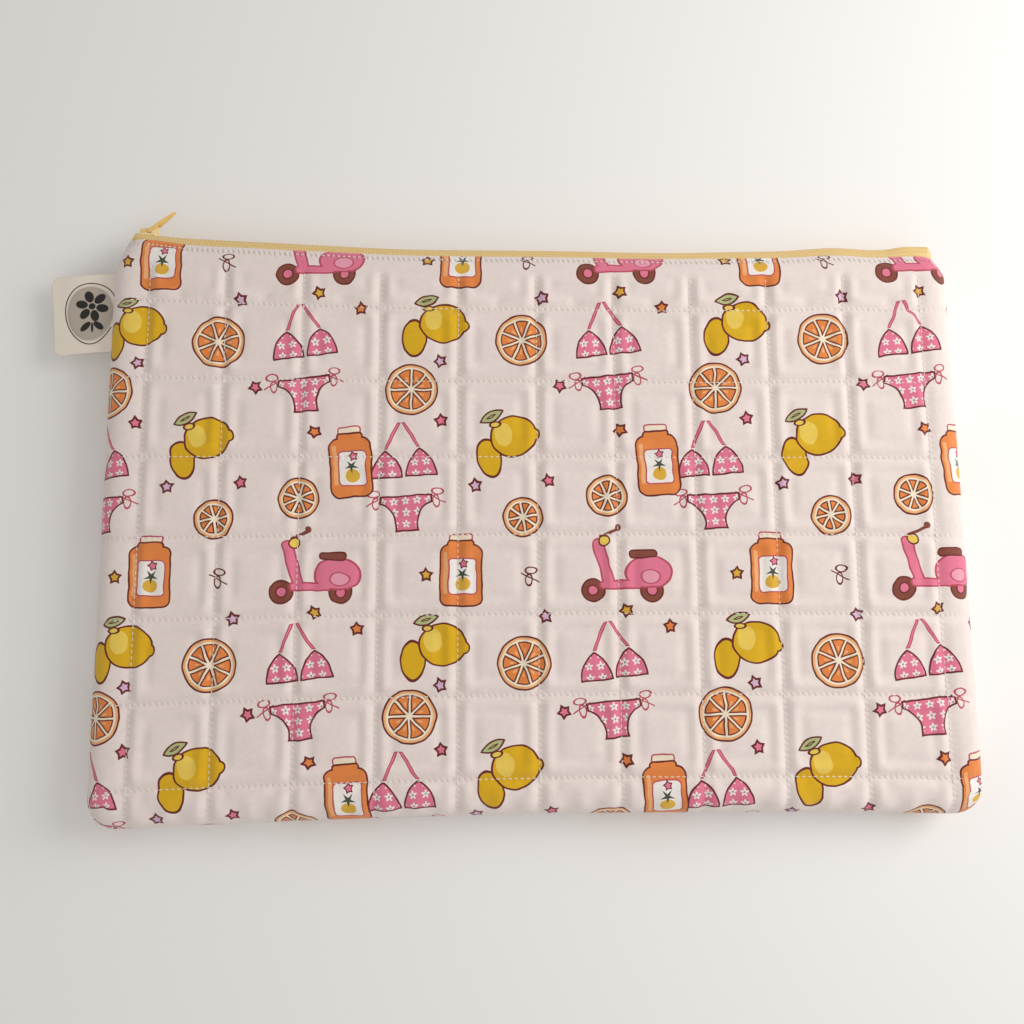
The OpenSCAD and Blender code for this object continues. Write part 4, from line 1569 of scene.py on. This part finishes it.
def slider_body():
    """Two wings joined by flanges that turn up beside the coil."""
    middle = (SLIDER_LOW[0] + SLIDER_HIGH[0]) / 2
    half_x = (SLIDER_HIGH[0] - SLIDER_LOW[0]) / 2
    half_z = (SLIDER_HIGH[2] - SLIDER_LOW[2]) / 2
    wing = rounded([(-half_x, -half_z, 2.6), (1.2, -half_z, 2.0), (half_x, -half_z + 0.9, 1.2),
                    (half_x, half_z - 0.9, 1.2), (1.2, half_z, 2.0), (-half_x, half_z, 2.6)])
    thick = 1.1
    upper_y = SLIDER_HIGH[1] - thick / 2
    lower_y = SLIDER_LOW[1] + thick / 2
    meshes = [plate("wing", wing, thick, 0.28, flat_to_zip(upper_y, middle, MID_Z)),
              plate("wing", wing, thick, 0.28, flat_to_zip(lower_y, middle, MID_Z))]
    flange_top = ZIP_Y - 1.05
    for away in (-1, 1):
        rail = rounded([(-half_x + 0.9, SLIDER_LOW[1] + 0.3, 0.3), (half_x - 1.0, SLIDER_LOW[1] + 0.3, 0.3),
                        (half_x - 1.0, flange_top - 0.3, 0.5), (-half_x + 0.9, flange_top, 0.6)])

        def stand(points, away=away):
            lean = 0.85 * smooth((points[:, 0] - 1.2) / (half_x - 1.2))
            z = MID_Z + away * (half_z - 0.55 - lean) + points[:, 2]
            return np.stack([points[:, 0] + middle, points[:, 1], z], 1)
        meshes.append(plate("flange", rail, 0.95, 0.2, stand))
    body = merge("slider_shell", meshes, METAL)
    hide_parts("slider_body")
    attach(body, "slider")


def slider_crown():
    """The bridge on the upper wing: a foot at the right and a nose that hangs over the pull's bar."""
    left, foot = CROWN_LOW[0], CROWN_LOW[1]
    right, top = CROWN_HIGH[0], CROWN_HIGH[1]
    pocket = 0.72
    slot = 0.9
    outline = rounded([
        (left, foot + slot, 0.35), (left, top - 0.4, 0.7), (left + 3.2, top, 1.0),
        (right + 0.1, top + 0.4, 0.4), (right, foot, 0.15), (PIVOT[0] + pocket, foot, 0.1),
        (PIVOT[0] + pocket, PIVOT[1] + pocket, 0.6), (PIVOT[0] - pocket, PIVOT[1] + pocket, 0.6),
        (PIVOT[0] - pocket, foot + slot, 0.2)
    ])

    def stand(points):
        return np.stack([points[:, 0], points[:, 1], MID_Z + points[:, 2]], 1)
    width = CROWN_HIGH[2] - CROWN_LOW[2]
    crown = merge("slider_bridge", [plate("crown", outline, width, 0.3, stand)], METAL)
    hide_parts("slider_crown")
    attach(crown, "slider")


PULL_ANGLE = math.radians(40)
PULL_LEN = 15.6


def pull_tab():
    """Two cheeks with a bar between them, and a blade that gets thin and narrow to its tip."""
    cheek, eye, eye_end = 1.85, 1.03, 5.4
    outline = rounded([
        (-0.85, eye, 0.3), (eye_end, eye, 0.9), (eye_end, -eye, 0.9), (-0.85, -eye, 0.3),
        (-0.85, -cheek, 0.3), (6.4, -cheek, 2.5), (PULL_LEN, -0.85, 0.8), (PULL_LEN, 0.85, 0.8),
        (6.4, cheek, 2.5), (-0.85, cheek, 0.3)
    ])

    def swing(points):
        thin = 1 - 0.45 * smooth((points[:, 0] - 3) / 12)
        along, off = points[:, 0], points[:, 2] * thin
        c, s = math.cos(PULL_ANGLE), math.sin(PULL_ANGLE)
        return np.stack([PIVOT[0] + along * c - off * s, PIVOT[1] + along * s + off * c,
                         MID_Z + points[:, 1]], 1)
    blade = plate("blade", outline, 1.35, 0.3, swing)
    bar = [(PIVOT[0], PIVOT[1], MID_Z + z) for z in (-1.5, -0.7, 0, 0.7, 1.5)]
    tab = merge("pull_blade", [blade, tube_mesh("bar", bar, 0.52, 16)], METAL)
    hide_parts("pull_tab")
    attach(tab, "pull")


slider_body()
slider_crown()
pull_tab()


# ---------------------------------------------------------------- the side label

LABEL_DROOP = 3.2        # how far the free edge hangs down
LABEL_BULGE = 0.7        # how far the middle bows up
LABEL_CURL = 0.9         # how far the free corners turn up
LABEL_WAVE = 0.25


def label_point(out, up):
    """The label's middle surface: out is the distance from its bend, up the distance along the seam."""
    out, up = np.asarray(out, float), np.asarray(up, float)
    reach = np.maximum(out, 0)
    share = reach / LABEL_LEN
    x = LABEL_HINGE[0] + 0.3 - out * 1.03 * math.cos(LABEL_TURN) - 0.11 * up * smooth(share * 1.6)
    y = LABEL_Y + 0.5 + up - reach * math.sin(LABEL_TURN)
    droop = LABEL_DROOP * share ** 1.6 - LABEL_BULGE * bell(share - 0.5, 0.3)
    curl = LABEL_CURL * (up / LABEL_HALF) ** 2 * share
    return np.stack([x, y, LABEL_HINGE[2] - droop + curl + LABEL_WAVE * noise(out, up, 11, 41)], -1)


def ring_wide(up):
    """The ring's half length away from the seam, as it would be at that height: a little egg-shaped."""
    return RING_OUT * (1 + RING_EGG * up / RING_UP)


def ring_share(out, up):
    """1 on the ring, less inside it."""
    return np.hypot((out - RING_AT) / ring_wide(up), up / RING_UP)


def raised(out, up):
    """How far the disc inside the ring stands out of the label."""
    inside = (DISC - ring_share(out, up)) * RING_OUT
    return RAISED * smooth(inside / 1.5) * smooth((out - SEAM_OUT) / 1.5)


BESIDE_DISC = 60         # the underside takes its colour from this far off, where there is no disc


def label_leaf(tail):
    """The free leaf, with round outer corners and a soft raised disc inside its printed ring."""
    outs = np.concatenate([np.linspace(-1.2, LABEL_LEN - LABEL_R, 60),
                           LABEL_LEN - LABEL_R + LABEL_R * np.sin(np.radians(np.linspace(9, 90, 10)))])
    ups = np.linspace(-1, 1, 70)
    past = np.maximum(outs - (LABEL_LEN - LABEL_R), 0)
    half = LABEL_HALF + 0.6 - LABEL_R + np.sqrt(np.maximum(LABEL_R ** 2 - past ** 2, 0))
    out = np.repeat(outs[:, None], len(ups), 1)
    up = half[:, None] * ups[None, :]
    middle = label_point(out, up)
    normal = -surface_normals(middle)
    pressed = 0.14 * bell((ring_share(out, up) - 1) * RING_OUT, 0.5)
    edge = smooth((half[:, None] - abs(up)) / 0.5) * smooth((LABEL_LEN - out) / 0.5)
    thick = LABEL_T / 2 * (0.55 + 0.45 * edge)
    outer = middle + normal * (thick + raised(out, up) - pressed * (out > SEAM_OUT))[..., None]
    inner = middle - normal * thick[..., None]
    uv = np.stack([out, up], -1)
    plain_uv = uv + [BESIDE_DISC, 0]
    leaf = shell("label_leaf", outer, inner, uv, LABEL, flip=True, inner_uv=plain_uv)
    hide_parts("side_label")
    bend_label(leaf)
    cut_size(outer, inner)


def bend_label(piece):
    """The piece bends about the side seam, just outside it."""
    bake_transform(piece, "pouch", "label", start=((LABEL_HINGE[0] + 0.6) * MM, 0, 0),
             end=((LABEL_HINGE[0] - 2.6) * MM, 0, 0))


def label_tail():
    """The end of the label that is sewn in between the turnings."""
    outs = np.linspace(-6.5, -1.3, 12)
    ups = np.linspace(-LABEL_HALF, LABEL_HALF, 40)
    out, up = np.meshgrid(outs, ups, indexing="ij")
    middle = label_point(out, up)
    up_way = np.array([0, 0, LABEL_T / 2])
    tail = shell("label_sewn_tail", middle + up_way, middle - up_way, np.stack([out, up], -1), LABEL,
                 flip=True)
    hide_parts("label_tail")
    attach(tail, "pouch")
    return tail


def inked(bits, outline):
    """A thin patch of ink on the label's disc, from an outline of (out, up) places."""
    outline = np.asarray(outline)
    base = label_point(outline[:, 0], outline[:, 1])
    top = LABEL_T / 2 + raised(outline[:, 0], outline[:, 1])
    rise = np.stack([0 * top, 0 * top, top], 1)
    verts = np.concatenate([base + rise + (0, 0, 0.1), base + rise - (0, 0, 0.12)])
    count = len(outline)
    faces = [list(range(count)), list(range(2 * count - 1, count - 1, -1))]
    faces += [[k, count + k, count + (k + 1) % count, (k + 1) % count] for k in range(count)]
    bits.add(verts, faces)


def oval(out, up, long_r, short_r, turn, count=20):
    """An oval outline round a place, turned by that many degrees."""
    a = np.linspace(0, 2 * math.pi, count, endpoint=False)
    c, s = math.cos(math.radians(turn)), math.sin(math.radians(turn))
    x, y = long_r * np.cos(a), short_r * np.sin(a)
    return np.stack([out + x * c - y * s, up + x * s + y * c], 1)


def label_mark():
    """A plain ring, part of it hidden by the seam, with a bold daisy and two leaves in it."""
    bits = Bits()
    open_at = math.acos(min(1, (RING_AT - SEAM_OUT - 0.4) / RING_OUT))
    a = np.linspace(math.pi + open_at, 3 * math.pi - open_at, 97)
    up = RING_UP * np.sin(a)
    out = RING_AT + ring_wide(up) * np.cos(a)
    ring = label_point(out, up)
    ring[:, 2] += LABEL_T / 2 - 0.06
    bits.tube(ring, 0.24, 8, squash=0.6)
    flower = (RING_AT - 1.2, 3.4)
    petals, petal_at = 6, 5.0
    for k in range(petals):
        turn = 360 / petals * k + 15
        out = flower[0] + petal_at * math.cos(math.radians(turn))
        up = flower[1] + petal_at * math.sin(math.radians(turn))
        inked(bits, oval(out, up, 2.9, 2.0, turn))
    inked(bits, oval(*flower, 1.6, 1.6, 0))
    inked(bits, oval(RING_AT + 2.2, -6.5, 3.2, 1.5, -38))
    inked(bits, oval(RING_AT - 4.4, -6.5, 3.0, 1.5, 218))
    inked(bits, oval(RING_AT - 1.2, -7.2, 2.5, 0.6, 90))
    mark = bits.piece("label_mark", INK, smooth_shade=False)
    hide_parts("label_print")
    bend_label(mark)


label_leaf(label_tail())
label_mark()


# ---------------------------------------------------------------- the turned-in seam

def seam_path(inset, spacing=2.0):
    """Plan points that run at an inset from the side and bottom seams, from shoulder to shoulder."""
    top, low, wide = BEND_Y - 13, BOTTOM_Y + inset, HALF_WIDE - inset
    down = np.arange(top, low, -spacing)
    across = np.linspace(-wide, wide, int(2 * wide / spacing))
    gx = np.concatenate([0 * down - wide, across, 0 * down + wide])
    gy = np.concatenate([down, 0 * across + low, down[::-1]])
    x, y = round_corners(gx, gy)
    return np.stack([narrow(x, y), y], -1)


TURNING_INSET = 4.2      # how far inside the seam the turnings begin
TURNING_STEPS = (0, 1.5, 3.0, 4.5, 6.0)


def seam_turnings():
    """The raw edges of the two walls, turned in beside the seam: two frayed leaves."""
    edges = [seam_path(TURNING_INSET + step) for step in TURNING_STEPS]
    shortest = min(len(edge) for edge in edges)
    edges = [edge[np.linspace(0, len(edge) - 1, shortest).astype(int)] for edge in edges]
    plan = np.stack(edges, 1)
    fray = 0.35 * noise(np.arange(shortest), 0, 1.7, 51)
    plan[:, -1] += (plan[:, -1] - plan[:, -2]) * fray[:, None]
    bits = Bits()
    for away in (-1, 1):
        splay = 0.12 + 0.5 * np.linspace(0, 1, len(TURNING_STEPS)) ** 2
        lower = np.concatenate([plan, np.repeat(splay[None, :, None], shortest, 0) * away], -1)
        upper = lower + np.array([0, 0, 0.5 * away])
        middle = [0, 0, MID_Z]
        outer, inner = askew(upper.copy()) + middle, askew(lower.copy()) + middle
        verts = np.concatenate([outer.reshape(-1, 3), inner.reshape(-1, 3)])
        bits.add(verts, leaf_faces(plan.shape[:2], away > 0))
    turnings = bits.piece("seam_turnings", COTTON)
    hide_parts("seam_allowance")
    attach(turnings, "pouch")


seam_turnings()


# ---------------------------------------------------------------- camera, floor and light

CAMERA_PLACE = (-10.0, -44.5, 442.5)
CAMERA_TURN = (6.485, -0.321, 0.708)
LENS = 31.9
FLOOR_HALF = 4000
FLOOR_Z = -0.2


def add_camera():
    """The camera, nearly straight above the sleeve."""
    data = bpy.data.cameras.new("camera")
    data.lens = LENS
    data.sensor_width = 36
    data.clip_start = 0.01
    camera = bpy.data.objects.new("camera", data)
    camera.location = [c * MM for c in CAMERA_PLACE]
    camera.rotation_euler = [math.radians(a) for a in CAMERA_TURN]
    bpy.context.scene.collection.objects.link(camera)
    bpy.context.scene.camera = camera


def add_floor():
    """A plain pale floor just under the sleeve."""
    material, _, shader = new_material("floor")
    set_inputs(shader, {"Base Color": colour(250, 250, 250), "Roughness": 0.9})
    corners = ((-1, -1), (1, -1), (1, 1), (-1, 1))
    verts = [(FLOOR_HALF * x, FLOOR_HALF * y, FLOOR_Z) for x, y in corners]
    floor = make_object("floor", verts, [(0, 1, 2, 3)], material)


def add_light(name, place, size, power):
    """A square area light that looks at the middle of the sleeve, with a slightly warm colour."""
    data = bpy.data.lights.new(name, "AREA")
    data.size = size
    data.energy = power
    data.color = (1.0, 0.975, 0.94)
    light = bpy.data.objects.new(name, data)
    light.location = place
    light.rotation_euler = Vector(place).to_track_quat("Z", "Y").to_euler()
    bpy.context.scene.collection.objects.link(light)


def add_sky(strength):
    """Even light from all round."""
    world = bpy.data.worlds.new("studio")
    world.use_nodes = True
    world.node_tree.nodes["Background"].inputs["Color"].default_value = colour(255, 251, 246)
    world.node_tree.nodes["Background"].inputs["Strength"].default_value = strength
    bpy.context.scene.world = world


add_camera()
add_floor()
add_sky(0.46)
add_light("window", (0.72, 0.22, 0.5), 0.55, 4.6)
add_light("room", (0.4, -0.9, 1.5), 1.5, 4)
bpy.context.scene.view_settings.view_transform = "Standard"
